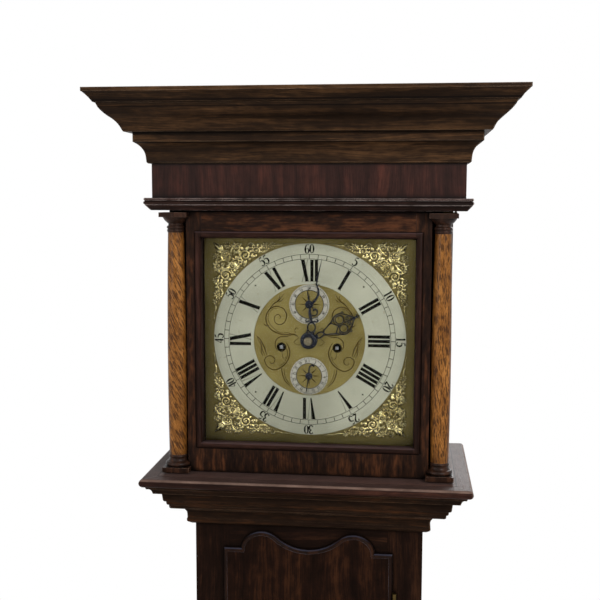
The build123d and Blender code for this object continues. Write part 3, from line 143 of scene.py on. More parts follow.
class Finish:
    """One material: its Principled shader and the pattern that feeds it."""

    def __init__(self, name, rough=0.4, metal=0, coat=0, shine=0.5):
        self.material = bpy.data.materials.new(name)
        self.material.use_nodes = True
        self.tree = self.material.node_tree
        self.node = partial(add_node, self.tree)
        self.shader = self.tree.nodes["Principled BSDF"]
        for label, value in (("Roughness", rough), ("Metallic", metal), ("Coat Weight", coat),
                             ("Coat Roughness", 0.12), ("Specular IOR Level", shine)):
            self.set(label, value)
        self.place = self.node("ShaderNodeTexCoord", out="Object")
        split = self.node("ShaderNodeSeparateXYZ", {0: self.place}, out=None)
        self.x, self.y, self.z = (Wire(self.tree, axis) * 1000 for axis in split.outputs)

    def set(self, label, value):
        plug(self.tree, value, self.shader.inputs[label])

    def noise(self, where, scale=1, detail=3, roughness=0.55):
        """Noise at the place, or at three sums of its sides."""
        if isinstance(where, tuple):
            where = self.node("ShaderNodeCombineXYZ", dict(enumerate(where)))
        return self.node("ShaderNodeTexNoise", {
            "Vector": where, "Scale": scale, "Detail": detail, "Roughness": roughness})

    def cloud(self, scale, detail=3):
        """Noise of so many patches to the metre."""
        return self.noise(self.place, scale, detail)

    def ramp(self, value, *stops):
        made = self.node("ShaderNodeValToRGB", {0: value}, out=None)
        elements = made.color_ramp.elements
        while len(elements) < len(stops):
            elements.new(1)
        for element, (position, colour) in zip(elements, stops):
            element.position = position
            element.color = paint(colour)
        return Wire(self.tree, made.outputs[0])

    def layers(self, colour, *coats):
        """Tones laid over a colour in turn, each where its mask says."""
        for mask, tone in coats:
            colour = self.node("ShaderNodeMix", {0: mask, 6: colour, 7: tone}, {"data_type": "RGBA"}, out=2)
        return colour

    def reach_from(self, x, z):
        """Distance from an axis that points at the viewer."""
        across, up = self.x - x, self.z - z
        return (across * across + up * up).maths("SQRT")

    def edges(self, reach, gap=8):
        """1 on the outer edges, the normal that rounds them, and 1 in hollows narrower than the gap, where
        the finishes paint shade.
        """
        eased = self.node("ShaderNodeBevel", {"Radius": reach * MM}, {"samples": 4})
        flat = self.node("ShaderNodeNewGeometry", out="Normal")
        match = self.node("ShaderNodeVectorMath", {0: eased, 1: flat}, {"operation": "DOT_PRODUCT"},
                          out="Value")
        open_air = self.node("ShaderNodeAmbientOcclusion", {"Distance": gap * MM}, {"samples": 6},
                             out="AO")
        edge = (1 - match).above(0.12, 0.1) * open_air.above(0.84, 0.08)
        return edge, eased, open_air.below(0.76, 0.18)

    def done(self, colour, rough=None, height=None, depth=0, normal=None):
        """The material, once its colour, roughness and relief are fed in."""
        self.set("Base Color", colour)
        if rough is not None:
            self.set("Roughness", rough)
        if height is not None:
            relief = {"Height": height, "Distance": depth * MM, "Strength": 1}
            if normal is not None:
                relief["Normal"] = normal
            self.set("Normal", self.node("ShaderNodeBump", relief))
        return self.material

    def give_way(self, share, other):
        """The other shader takes the place of the painted one by a share."""
        both = self.node("ShaderNodeMixShader", {
            0: share, 1: Wire(self.tree, self.shader.outputs[0]), 2: other})
        plug(self.tree, both, self.tree.nodes["Material Output"].inputs["Surface"])


# Grain: how far along the fibres, two ways across them, and where the joints are


def upright(f):
    return f.z, f.x, f.y, None


def sideways(f):
    return f.x, f.z, f.y, None


def mitred(half, front):
    """Grain that runs along the front and turns the corners, with the mitre lines."""
    def grain(f):
        ahead = front - f.y
        beside = f.x.size() - half
        past_corner = ahead - beside
        on_front = past_corner.above(0, 0.01)
        other_side = f.x.above(0) * 700
        along = f.x * on_front + (f.y + other_side) * (1 - on_front)
        return along, f.z, ahead.larger(beside), past_corner.near(0, 0.25, 0.15)
    return grain


def turned_grain(f, up, half, strength=1):
    """Upright fibres on one part, sideways on the rest, and joints at a half width."""
    rest = 1 - up
    along = f.z * up + f.x * rest + up * 900
    across = f.x * up + f.z * rest
    return along, across, f.y, f.x.size().near(half, 0.2, 0.15) * strength


def framed(inner):
    """Upright stiles outside the inner width, and rails between them."""
    return lambda f: turned_grain(f, f.x.size().above(inner, 0.01), inner)


def hood_door_grain(f):
    """Upright on the stiles and the crossbanded bottom rail, sideways on the top rail."""
    up = f.x.size().above(SIGHT[0], 0.01).larger(f.z.below(SIGHT[1], 0.01))
    return turned_grain(f, up, SIGHT[0], 0.3)


# Lines, darker places and painted shade on single pieces of wood


def nose_joint(f):
    """The line between the ledge's board and its mitred nose, and the darker nose."""
    out = (TRUNK_FRONT - f.y).larger(f.x.size() - TRUNK_HALF)
    return (out.near(NOSE_START, 0.7, 0.4) * 0.95).larger(out.above(NOSE_START, 0.3) * 0.28)


# Painted shade in bands across the cornice: dark lines in its quirks and duller bands in its hollows
CORNICE_SHADE = (  # height, reach, softness and strength: three quirks, then two hollows
    (1976.4, 0.9, 0.7, 1), (1984, 1.2, 0.9, 1), (1932, 0.8, 0.6, 1),
    (1966, 3, 5, 0.65), (1920, 2, 4, 0.4),
)


def cornice_quirks(f):
    """Painted shade in the quirks of the cornice and in its hollows."""
    return largest(f.z.near(*place) * strength for *place, strength in CORNICE_SHADE)


def veneer_joint(f):
    """Joints between the leaves of the frieze's veneer, and painted shade on the leaf at the left."""
    # painted shade darkens the left leaf
    return (f.x.size().near(VENEER_JOINT, 0.35, 0.3) * 0.6).larger(
        (f.x * -1).above(VENEER_JOINT, 0.2) * 0.22)


def wood(name, grain, dark, middle, light, polish=0.34, shine=0.05, wear_and_highlight=0.5, scale=1, wear_and_highlight_tone=None,
         reach=1.1, dust_and_sheen=0, marks=None, figure=0.3, top_sheen_tone=None, tilt=0.8, gap=8, arris_highlight=0):
    """Old polished wood: bands, fibres, pores, painted shade in hollows, worn edges lightened as painted
    highlights, a painted highlight on rounded arrises and painted sheen on top.
    """
    f = Finish(name, shine=shine)
    along, across, through, joint = grain(f)
    sway = f.noise((along * 0.004, across * 0.012, through * 0.012), detail=2) - 0.5
    swayed = across + sway * 26
    bands = f.noise((along * 0.0035, swayed * 0.09 * scale, through * 0.06 * scale))
    fibres = f.noise((along * 0.022, swayed * 1.1 * scale, through * 1.1 * scale), detail=4,
                     roughness=0.65)
    pores = f.noise((along * 0.11, swayed * 3.4, through * 3.4), detail=1).above(0.64, 0.05)
    mottle = f.noise((along * 0.05, swayed * 0.16 * scale, through * 0.16 * scale))
    patches = f.cloud(38)
    grime = f.cloud(9, 2)
    edge, eased, hollow_shade = f.edges(reach, gap)
    wear_and_highlight_tone = wear_and_highlight_tone or light
    tone = bands * 0.62 + fibres * 0.5 + mottle * figure - 0.065 - figure * 0.5
    colour = f.layers(f.ramp(tone, (0.3, dark), (0.5, middle), (0.7, light)),
                      (pores * 0.55, (14, 7, 4)),
                      # painted shade: near-black where hollows and neighbouring parts would shadow the wood
                      (hollow_shade * 0.9, (5, 3, 2)),
                      # worn edges, lightened further as painted highlights and reflections along the
                      # arrises
                      (edge * patches.above(0.42, 0.2) * wear_and_highlight, wear_and_highlight_tone),
                      (grime.below(0.45, 0.2) * 0.35, (16, 9, 6)))
    if dust_and_sheen or arris_highlight:
        facing = f.node("ShaderNodeNewGeometry", out="Normal")
        upward = f.node("ShaderNodeSeparateXYZ", {0: facing}, out="Z")
        # painted highlight on the rounded arris that faces up and forward, in the edge tone
        colour = f.layers(colour, (upward.near(0.68, 0.2, 0.09) * (patches * 1.4) * arris_highlight, wear_and_highlight_tone),
                          # painted sheen on faces that point upwards, as light from above
                          (upward.above(tilt, 0.15) * (patches * 0.6 + 0.5) * dust_and_sheen, top_sheen_tone))
    # dark joint lines, and where a piece asks for them, lines of painted shade
    for line in (joint, marks and marks(f)):
        if line is not None:
            colour = f.layers(colour, (line * 0.8, (8, 4, 3)))
    return f.done(colour, polish + (1 - fibres) * 0.14 + pores * 0.2 + grime * 0.08,
                  fibres * 0.5 - pores * 0.7 + bands * 0.2, 0.12, eased)


def raw_wood(name, grain, dark, light, board_width=None):
    """Unpolished back and inside boards, with saw marks and dust."""
    f = Finish(name, rough=0.8, shine=0.2)
    along, across, through, _ = grain(f)
    sway = f.noise((along * 0.003, across * 0.01, through * 0.01), detail=2) - 0.5
    bands = f.noise((along * 0.002, (across + sway * 60) * 0.12, through * 0.1), detail=4)
    fibres = f.noise((along * 0.02, across * 1.3, through * 1.3), detail=4, roughness=0.7)
    saw = f.noise((along * 0.5 + sway * 30, across * 0.03, through * 0.03), detail=1)
    dust_and_sheen = f.cloud(14, 4)
    colour = f.layers(f.ramp(bands * 0.6 + fibres * 0.45, (0.3, dark), (0.72, light)),
                      (dust_and_sheen.above(0.52, 0.12) * 0.3, (126, 112, 94)))
    if board_width:
        seam = ((across / board_width).maths("FRACT") * board_width).near(board_width / 2, 0.6, 0.4)
        colour = f.layers(colour, (seam * 0.85, (14, 10, 7)))
    return f.done(colour, height=fibres * 0.5 + saw * 0.4, depth=0.25)


def brass(name, deep, bright, rough=0.32, scale=1, wear_and_highlight=0.4, axis=None, ground=None):
    """Cloudy, tarnished brass with bright worn edges as painted highlights, and tarnish with painted shade
    in its hollows: turned round an axis, or with painted shade low down on a casting's ground.
    """
    f = Finish(name, metal=1)
    clouds = f.cloud(24 * scale, 4)
    stains = f.cloud(90 * scale)
    marks = f.cloud(900 * scale, 2)
    edge, eased, corner = f.edges(0.4)
    # bright edges are wear and painted highlights; the dark corners are tarnish and painted shade
    colour = f.layers(f.ramp(clouds * 0.6 + stains * 0.4, (0.3, deep), (0.7, bright)),
                      (edge * wear_and_highlight, bright), (corner * 0.5, (38, 31, 12)))
    # painted shade low down near the ground the casting stands on
    if ground is not None:
        colour = f.layers(colour, (((ground - f.y) / 3).below(0.25, 0.25) * 0.8, (50, 42, 20)))
    if axis is not None:
        marks = marks * 0.4 + (f.reach_from(*axis) * 9).wave() * 0.35
    return f.done(colour, rough + stains * 0.16 - clouds * 0.06, marks, 0.02, eased)


def steel(name, tone, rough=0.35, metal=1):
    """Bare or blued steel with faint rust freckles and file marks."""
    f = Finish(name, metal=metal)
    clouds = f.cloud(60, 4)
    freckles = f.cloud(420, 2).above(0.66, 0.06)
    marks = f.noise((f.x * 0.4, f.y * 0.4, f.z * 4), detail=2)
    dark = (*(0.6 * channel for channel in paint(tone)[:3]), 1)
    colour = f.layers(f.ramp(clouds, (0.3, dark), (0.7, tone)), (freckles * 0.5, (58, 38, 26)))
    return f.done(colour, rough + clouds * 0.15 + freckles * 0.2, marks, 0.015, f.edges(0.3)[1])


def two_metals(name, axis, steel_reach):
    """Brass wheel on a steel arbor, which reaches so far from the axis."""
    f = Finish(name, metal=1)
    reach = f.reach_from(*axis)
    clouds = f.cloud(70, 4)
    plain = f.ramp(clouds, (0.3, BRASS_DEEP), (0.7, (178, 152, 84)))
    grey = f.ramp(clouds, (0.3, (84, 84, 86)), (0.7, (138, 138, 138)))
    colour = f.layers(plain, (reach.below(steel_reach, 0.05), grey))
    return f.done(colour, 0.3 + clouds * 0.16, (reach * 11).wave() * 0.3 + clouds, 0.012)


def column_finish():
    """Golden oak with slanting flecks on the left column, nearly upright ones on the right."""
    f = Finish("column_oak", coat=0.04, shine=0.12)
    right = f.x.above(0)
    turn = (f.x - (right * (2 * COLUMN_X) - COLUMN_X)).maths("ARCTAN2", (f.y - COLUMN_Y) * -1)
    slant = turn * COLUMN_RADIUS + f.z * (0.5 - right * 0.44)
    bands = f.noise((slant * 0.10, f.z * 0.02, right * 9))
    flecks = f.noise((slant * 0.5, f.z * 0.07, right * 5), detail=2, roughness=0.6)
    fine = f.noise((slant * 1.6, f.z * 0.2, right * 3), detail=2)
    ends = (f.z - COLUMN_MIDDLE).size().above(150, 12)
    # painted shade along both sides of each column, where it turns away from the light
    sides = turn.size().above(1.15, 0.4)
    colour = f.ramp(bands * 0.5 + fine * 0.5, (0.34, (84, 48, 14)), (0.5, (130, 82, 33)),
                    (0.66, (178, 120, 60)))
    colour = f.layers(colour, (flecks.above(0.53, 0.05) * 0.8, (46, 24, 8)),
                      (ends * 0.35, (58, 30, 12)), (sides * 0.5, (40, 22, 9)))
    return f.done(colour, 0.3 + fine * 0.16, fine * 0.4 - flecks * 0.3, 0.08)


def pane_finish():
    """Clear old glass that lamps shine straight through."""
    f = Finish("pane", rough=0)
    f.set("Transmission Weight", 1)
    f.set("IOR", 1.09)
    f.give_way(f.node("ShaderNodeLightPath", out="Is Shadow Ray"), f.node("ShaderNodeBsdfTransparent"))
    return f.done((250, 252, 250))


def gut_finish():
    """Twisted gut, amber and slightly shiny."""
    f = Finish("gut", rough=0.45)
    tone = f.cloud(160, 2)
    colour = f.layers((150, 118, 70), (tone, (196, 168, 116)))
    return f.done(colour, height=(f.z * 2.4 + (f.x + f.y) * 2).wave(), depth=0.12)


def silver_finish(name, deep, bright):
    """Silvered brass, brushed round the dial, yellowed and spotted with age."""
    f = Finish(name, metal=0.9)
    turn = f.x.maths("ARCTAN2", f.z - DIAL_Z)
    brushed = f.noise((f.reach_from(0, DIAL_Z) * 1.6, turn * 2, 0), detail=4)
    clouds = f.cloud(11, 4)
    spots = f.cloud(260, 2).above(0.70, 0.04)
    colour = f.layers(f.ramp(clouds * 0.7 + brushed * 0.3, (0.3, deep), (0.7, bright)),
                      (spots * 0.5, (104, 96, 72)))
    return f.done(colour, 0.42 + clouds * 0.14, brushed, 0.02, f.edges(0.3)[1])


def plate_finish():
    """Dial plate: matted olive brass inside the chapter ring, duller outside it."""
    f = Finish("dial_plate_brass", metal=1)
    clouds = f.cloud(16, 4)
    stains = f.cloud(70)
    grain = f.noise((f.x * 0.02, f.z * 1.2, 0), detail=2)
    inside = f.reach_from(0, DIAL_Z).below(80, 1)
    colour = f.ramp(clouds * 0.6 + stains * 0.25 + grain * 0.15,
                    (0.32, (90, 79, 42)), (0.68, (124, 112, 68)))
    colour = f.layers(colour, ((1 - inside) * 0.45, (58, 49, 28)))
    return f.done(colour, 0.36 + stains * 0.16, grain * 0.5 + stains * 0.5, 0.03)


def filling(name, scale, *tones, detail=2, split=None):
    """Dull filling of engraved lines, mottled between two tones."""
    f = Finish(name, rough=0.7, shine=0)
    tone = f.cloud(scale, detail)
    return f.done(f.layers(tones[0], (tone if split is None else tone.above(*split), tones[1])))


# Finishes of the case

BROWN = ((21, 11, 7), (38, 22, 13), (74, 44, 25))
DOOR_BROWN = ((17, 9, 6), (31, 17, 11), (60, 35, 21))
BRASS_DEEP = (104, 88, 46)
frieze_run = mitred(FRIEZE_HALF, FRIEZE_FRONT)
trunk_run = mitred(TRUNK_HALF, TRUNK_FRONT)
# The edge tones of the mouldings are partly wear and partly painted highlights and reflections; the top
# tones are painted sheen on faces that point up.
finishes = {
    "hood_cornice": wood(
        "cornice_oak", frieze_run, (23, 15, 10), (43, 29, 18), (92, 64, 40),
        wear_and_highlight_tone=(146, 120, 96), wear_and_highlight=1, reach=2, figure=0.25, marks=cornice_quirks),
    "frieze_moulding": wood(
        "frieze_edge_wood", frieze_run, (15, 9, 7), (32, 20, 16), (64, 41, 34),
        wear_and_highlight_tone=(236, 214, 206), wear_and_highlight=1, reach=1.8, gap=4),
    "hood_frieze": wood(
        "frieze_veneer", upright, (25, 12, 9), (48, 27, 22), (78, 43, 34),
        wear_and_highlight=0.3, shine=0.1, polish=0.3, scale=0.7, marks=veneer_joint),
    "hood_base_frame": wood(
        "ledge_wood", trunk_run, (27, 13, 9), (48, 28, 22), (88, 52, 40),
        wear_and_highlight_tone=(156, 128, 114), wear_and_highlight=1, reach=2.6, polish=0.3, dust_and_sheen=0.5, top_sheen_tone=(112, 90, 84),
        arris_highlight=0.8, gap=6, marks=nose_joint),
    "hood_door_frame": wood(
        "door_frame_wood", hood_door_grain, (20, 11, 8), (40, 24, 16), (84, 50, 31),
        wear_and_highlight_tone=(120, 90, 82), reach=0.9, figure=0.7),
    "throat_moulding": wood(
        "throat_wood", trunk_run, BROWN[0], (36, 24, 16), BROWN[2],
        wear_and_highlight_tone=(134, 106, 84), wear_and_highlight=1, reach=2.4, gap=6, shine=0.02),
    # its wide gap spreads painted shade down the rail under the throat moulding
    "trunk_front_frame": wood(
        "trunk_frame_wood", framed(TRUNK_STILE), (16, 9, 6), (28, 16, 11), (56, 34, 22),
        wear_and_highlight=0.3, gap=32, shine=0.02),
    "trunk_door_board": wood(
        "trunk_door_wood", upright, *DOOR_BROWN,
        scale=0.6, wear_and_highlight_tone=(104, 96, 100), wear_and_highlight=0.9, figure=0.45, shine=0.02),
    "column_caps_and_bases": wood(
        "turned_wood", upright, (20, 11, 7), (42, 25, 17), (84, 53, 37),
        wear_and_highlight_tone=(140, 108, 90), wear_and_highlight=0.8, polish=0.18, shine=0.1, gap=4),
    "dial_mask": wood(
        "mask_wood", framed(MASK_OPENING), (14, 8, 5), (26, 15, 10), BROWN[1],
        polish=0.6, shine=0.02),
    "hood_sides": wood("hood_side_wood", upright, *BROWN),
    "trunk_sides": wood("trunk_side_wood", upright, *BROWN),
    "base_boards": wood("base_wood", upright, *BROWN),
    "base_moulding": wood("base_moulding_wood", trunk_run, *BROWN),
    "plinth_skirting": wood("skirting_wood", mitred(BASE_HALF, BASE_FRONT), *BROWN, wear_and_highlight=0.8),
    "backboard": raw_wood("backboard_wood", upright, (72, 52, 34), (132, 104, 72), 220),
    "hood_top_board": raw_wood("dust_board_wood", sideways, (84, 64, 44), (146, 120, 88), 98),
    "seatboard": raw_wood("seatboard_wood", sideways, (78, 54, 34), (126, 96, 62)),
}
# Door mouldings: painted sheen on faces that point up, and painted highlights along their edges
sight_wood = wood("sight_moulding_wood", framed(SIGHT[0]), (20, 11, 8), (38, 22, 17),
                  (68, 42, 34), wear_and_highlight_tone=(132, 108, 112), wear_and_highlight=0.9, dust_and_sheen=0.6, top_sheen_tone=(90, 72, 72),
                  tilt=0.55)
ovolo_wood = wood("ovolo_wood", upright, *DOOR_BROWN, wear_and_highlight_tone=(120, 116, 124), wear_and_highlight=1, dust_and_sheen=0.7,
                  top_sheen_tone=(76, 78, 94), tilt=0.75)

# Finishes of the dial and the movement

blued = steel("blued_steel", (34, 36, 44), rough=0.26, metal=0.9)
gut = gut_finish()
wax_black = filling("engraving_wax", 300, (8, 8, 7), (18, 17, 14))
scribed = filling("scribed_lines", 120, (38, 28, 12), (62, 49, 24), detail=3, split=(0.5, 0.2))
for finish, names in (
        (column_finish(), "hood_columns"),
        (pane_finish(), "hood_door_glass"),
        (plate_finish(), "dial_plate"),
        (silver_finish("silvered", (120, 119, 105), (152, 151, 135)), "chapter_ring"),
        (silver_finish("small_silvered", (116, 113, 104), (158, 154, 144)), "subsidiary_rings"),
        (gut, "going_line strike_line line_leads"),
        (blued, "minute_hand hour_hand seconds_hand date_hand"),
        (steel("bare_steel", (140, 140, 140)), "trunk_door_lock pendulum_rod pallets hammer"),
        (brass("case_brass", (96, 76, 36), (160, 132, 70), rough=0.3, scale=2),
         "dial_spandrels trunk_door_escutcheon"),
        (brass("aged_brass", (58, 46, 24), (92, 76, 44), rough=0.45),
         "movement_plates hood_door_pivots trunk_hinges_fixed trunk_door_hinges"),
        (brass("movement_brass", BRASS_DEEP, (172, 146, 78), rough=0.24),
         "movement_pillars hour_wheel date_wheel going_great_wheel strike_great_wheel going_weight "
         "strike_weight fly"),
        (brass("bob_brass", (120, 96, 46), (176, 146, 80), rough=0.2, axis=(0, BOB_Z)), "pendulum_bob"),
        (brass("bell_metal", (120, 108, 80), (168, 156, 124), rough=0.22), "bell")):
    finishes.update(dict.fromkeys(names.split(), finish))
for name, axis, reach in (
        ("centre_wheel", (0, DIAL_Z), 4.6), ("third_wheel", (13.2, DIAL_Z + 27.6), 3.6),
        ("escape_wheel", (0, SECONDS_Z), 3.2), ("minute_wheel", (0, DIAL_Z - 30), 3),
        ("pin_wheel", (-34, DIAL_Z + 26.2), 4.4), ("gathering_wheel", (-20, DIAL_Z + 47.2), 3.4),
        ("warning_wheel", (-34, DIAL_Z + 61), 2.8), ("cannon_wheel", (0, DIAL_Z), 3.5),
        ("going_barrel", (WINDING_X, WINDING_Z), 4.6), ("strike_barrel", (-WINDING_X, WINDING_Z), 4.6)):
    finishes[name] = two_metals(name + "_metals", axis, reach)
for name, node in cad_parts.items():
    node.data.materials.clear()
    node.data.materials.append(finishes[name])


# Shaping


def put(name, data):
    """A new object in the scene."""
    made = bpy.data.objects.new(name, data)
    bpy.context.collection.objects.link(made)
    return made


def give(name, mesh, body):
    """A piece of the clock, riding on its body."""
    piece = put(name, mesh)
    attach(piece, body)
    return piece


def solid(name, body, material, points, faces, crease=35):
    """A closed piece from points in millimetres, sharp past the crease angle."""
    mesh = bpy.data.meshes.new(name)
    mesh.from_pydata([Vector(point) * MM for point in points], [], faces)
    work = bmesh.new()
    work.from_mesh(mesh)
    bmesh.ops.remove_doubles(work, verts=work.verts, dist=1e-7)
    bmesh.ops.recalc_face_normals(work, faces=work.faces)
    bmesh.ops.triangulate(work, faces=[face for face in work.faces if len(face.verts) > 4])
    work.to_mesh(mesh)
    work.free()
    mesh.shade_smooth()
    mesh.set_sharp_from_angle(angle=radians(crease))
    mesh.materials.append(material)
    return give(name, mesh, body)


FLAT = ((-1, 0), (-1, 1), (1, 1), (1, 0))
EASED = ((-1, 0), (-1, 0.55), (-0.6, 1), (0.6, 1), (1, 0.55), (1, 0))
ROUND = tuple((-cos(k * pi / 6), sin(k * pi / 6)) for k in range(7))
WAX = 0.06  # how far engraved lines and figures stand off their ground


def skin(faces, rows, closed=False):
    """Walls between rows of points, with end faces unless the rows close up."""
    size = len(rows[0])
    for first, second in zip(rows, rows[1:] + (rows[:1] if closed else [])):
        for k in range(size):
            after = (k + 1) % size
            faces.append((first[k], first[after], second[after], second[k]))
    if not closed:
        faces.append(tuple(reversed(rows[0])))
        faces.append(tuple(rows[-1]))


def around(u, v, radius, angle, stretch=1):
    """The point at an angle from the right on a circle or an upright oval."""
    return u + radius * cos(angle), v + stretch * radius * sin(angle)


def circle(u, v, radius, sides, stretch=1):
    return [around(u, v, radius, 2 * pi * k / sides, stretch) for k in range(sides)]


def pen(points):
    """Points as they are, or from text that has commas between them."""
    if isinstance(points, str):
        return [tuple(map(float, point.split())) for point in points.split(",")]
    return points


class FrontWork:
    """Work drawn on an upright plane, u right and v up, that lifts towards the viewer."""

    def __init__(self, plane_y, origin=(0, DIAL_Z), turn=0, section=FLAT, height=WAX):
        self.plane_y = plane_y
        self.section = section
        self.height = height
        self.flip = (1, 1)
        self.swapped = False
        self.points = []
        self.faces = []
        self.stand(origin, turn)

    def stand(self, origin, turn=0):
        """Put the drawing frame at a point, turned clockwise."""
        self.origin = origin
        self.lean = radians(turn)

    def at(self, u, v, lift):
        if self.swapped:
            u, v = v, u
        u, v = u * self.flip[0], v * self.flip[1]
        x = self.origin[0] + u * cos(self.lean) + v * sin(self.lean)
        z = self.origin[1] - u * sin(self.lean) + v * cos(self.lean)
        self.points.append((x, self.plane_y - lift, z))
        return len(self.points) - 1

    def ribbon(self, path, height=None, section=None, closed=False):
        """Bar along a path of (u, v, half width), lower where it thins."""
        path = pen(path)
        height = height or self.height
        widest = max(half for _, _, half in path)
        count = len(path)
        rows = []
        for k, (u, v, half) in enumerate(path):
            before = path[k - 1] if k or closed else path[k]
            after = path[(k + 1) % count] if closed or k + 1 < count else path[k]
            du, dv = after[0] - before[0], after[1] - before[1]
            length = hypot(du, dv) or 1
            rise = height * (half / widest) ** 0.5
            rows.append([self.at(u - dv / length * half * side, v + du / length * half * side, lift * rise)
                         for side, lift in section or self.section])
        skin(self.faces, rows, closed)

    def curve(self, points, height=None, steps=6):
        """Bar along an even curve through the points."""
        self.ribbon(smooth(pen(points), steps), height)

    def ring(self, u, v, radius, half, sides=40, stretch=1):
        """Ring or oval of bar, stretched upwards."""
        self.ribbon([(*point, half) for point in circle(u, v, radius, sides, stretch)], closed=True)

    def boss(self, u, v, profile, sides=28):
        """Turned shape; its profile runs from the rim to the middle."""
        skin(self.faces, [[self.at(*point, lift) for point in circle(u, v, radius, sides)]
                          for radius, lift in pen(profile)])

    def bead(self, u, v, radius, height):
        """Small dome."""
        turns = [k * pi / 10 for k in range(5)]
        self.boss(u, v, [(radius * cos(turn), height * sin(turn)) for turn in turns], sides=12)

    def leaf(self, base, tip, half, height, bend=0, steps=8):
        """Pointed leaf from base to tip, bent sideways."""
        du, dv = tip[0] - base[0], tip[1] - base[1]
        path = []
        for k in range(steps + 1):
            share = k / steps
            side = bend * sin(pi * share)
            path.append((base[0] + du * share - dv * side, base[1] + dv * share + du * side,
                         half * (0.12 + sin(pi * share ** 0.8)) / 1.12))
        self.ribbon(path, height, ROUND)

    def make(self, name, body, slot, material, crease=35):
        return solid(name, body, material, self.points, self.faces, crease)


def smooth(points, steps=6):
    """Even curve through points, whatever they carry."""
    out = []
    for k in range(len(points) - 1):
        four = [points[max(0, min(len(points) - 1, k + shift))] for shift in (-1, 0, 1, 2)]
        for step in range(steps):
            t = step / steps
            out.append(tuple(0.5 * (2 * b + (c - a) * t + (2 * a - 5 * b + 4 * c - d) * t * t
                                    + (3 * b - a - 3 * c + d) * t ** 3) for a, b, c, d in zip(*four)))
    out.append(tuple(points[-1]))
    return out


def spiral(middle, start, stop, radii, halves, steps=26):
    """Path that winds between two angles, in degrees from the right, and two radii."""
    path = []
    for k in range(steps + 1):
        share = k / steps
        angle = radians(start + (stop - start) * share)
        radius = radii[0] + (radii[1] - radii[0]) * share ** 0.8
        path.append((*around(*middle, radius, angle), halves[0] + (halves[1] - halves[0]) * share))
    return path


# Figures, as pen strokes: across, up and half thickness in hundredths of the height

DIGITS = {
    "1": ("12 82 2, 26 97 5", "27 98 6.2, 27 2 6.2", "12 1.5 2, 42 1.5 2"),
    "2": ("5 72 5, 10 90 3.5, 26 98.5 3, 43 86 6.5, 40 62 6, 20 30 4, 3 5 3",
          "3 6 3, 20 9 6.5, 36 3 6, 48 17 2"),
    "3": ("6 82 5, 20 98 3, 38 90 5.5, 40 70 6, 20 54 2.2",
          "20 54 2.2, 42 44 5.5, 46 20 7, 28 1 3.5, 5 14 5.5"),
    "4": ("36 98 3, 20 66 2, 2 30 2", "2 30 3, 25 29 3, 50 33 3", "36 98 6, 36 0 6"),
    "5": ("42 99 3, 28 94 5, 14 96 2", "14 96 2, 10 56 2",
          "10 56 2, 26 62 3.5, 45 46 6.5, 43 16 6, 24 1 3, 4 13 5.5"),
    "6": ("42 93 4.5, 26 97 2, 10 70 5, 5 36 6.8, 14 6 4.5, 28 1 2.2, 43 14 5.5, 44 38 5.5, 30 53 2.2, "
          "10 40 3",),
    "7": ("4 84 4, 10 95 5, 46 96 4.5", "46 96 2, 26 50 5, 20 0 7"),
    "8": ("25 99 2.5, 10 90 4.5, 12 68 5.5, 36 44 6, 43 20 5, 25 1 2.5, 6 20 4.5, 14 46 2, 36 68 2.5, "
          "40 88 3.5, 25 99 2.5",),
}
DIGITS["9"] = [", ".join(f"{49 - u} {100 - v} {half}" for u, v, half in pen(DIGITS["6"][0]))]
DIGIT_WIDTH = 0.54


def write(work, text, middle_radius, height, bold=1):
    """Figures in a row across the up direction, their middle at a radius."""
    left = -len(text) * DIGIT_WIDTH / 2 * height
    foot = middle_radius - height / 2
    unit = height / 100
    for place, digit in enumerate(text):
        edge = left + (place * DIGIT_WIDTH + 0.03) * height
        if digit == "0":
            work.ribbon([(edge + (25 + 19 * u) * unit, foot + (50 + 47 * v) * unit,
                          (2.2 + 4.5 * u * u) * unit * bold) for u, v in circle(0, 0, 1, 30)], closed=True)
        for stroke in DIGITS.get(digit, ()):
            work.curve([(edge + u * unit, foot + v * unit, half * unit * bold)
                        for u, v, half in pen(stroke)], steps=4)


# Roman letters: room across, and strokes with their outer and inner place and half thickness

THICK = 2.4
THIN = 0.28
LETTERS = {
    "I": (6.3, ((0, 0, THICK),)),
    "V": (12.8, ((-3.6, 0.2, 1.15 * THICK), (4.6, 0.8, THIN))),
    "X": (13.8, ((-3.2, 3.2, 1.1 * THICK), (3.8, -3.8, THIN))),
}
HOURS = "XII I II III IIII V VI VII VIII IX X XI".split()
HOUR_OUTER = 114.5
HOUR_INNER = 84
SERIF = 1.1


def hour_numeral(work, text):
    """One numeral, thinner towards the middle, with thin serifs."""
    left = -sum(LETTERS[letter][0] for letter in text) / 2
    for letter in text:
        room, strokes = LETTERS[letter]
        middle = left + room / 2
        for outer, inner, half in strokes:
            foot = 0.3 if letter == "V" else 0.92
            work.ribbon([(middle + outer, HOUR_OUTER, half), (middle + inner, HOUR_INNER, half * foot)])
            serifs = ((outer, HOUR_OUTER), (inner, HOUR_INNER))
            for across, radius in serifs[:1] if letter == "V" else serifs:
                work.ribbon([(middle + across + side * (half + SERIF), radius, 0.2) for side in (-1, 1)])
        left += room


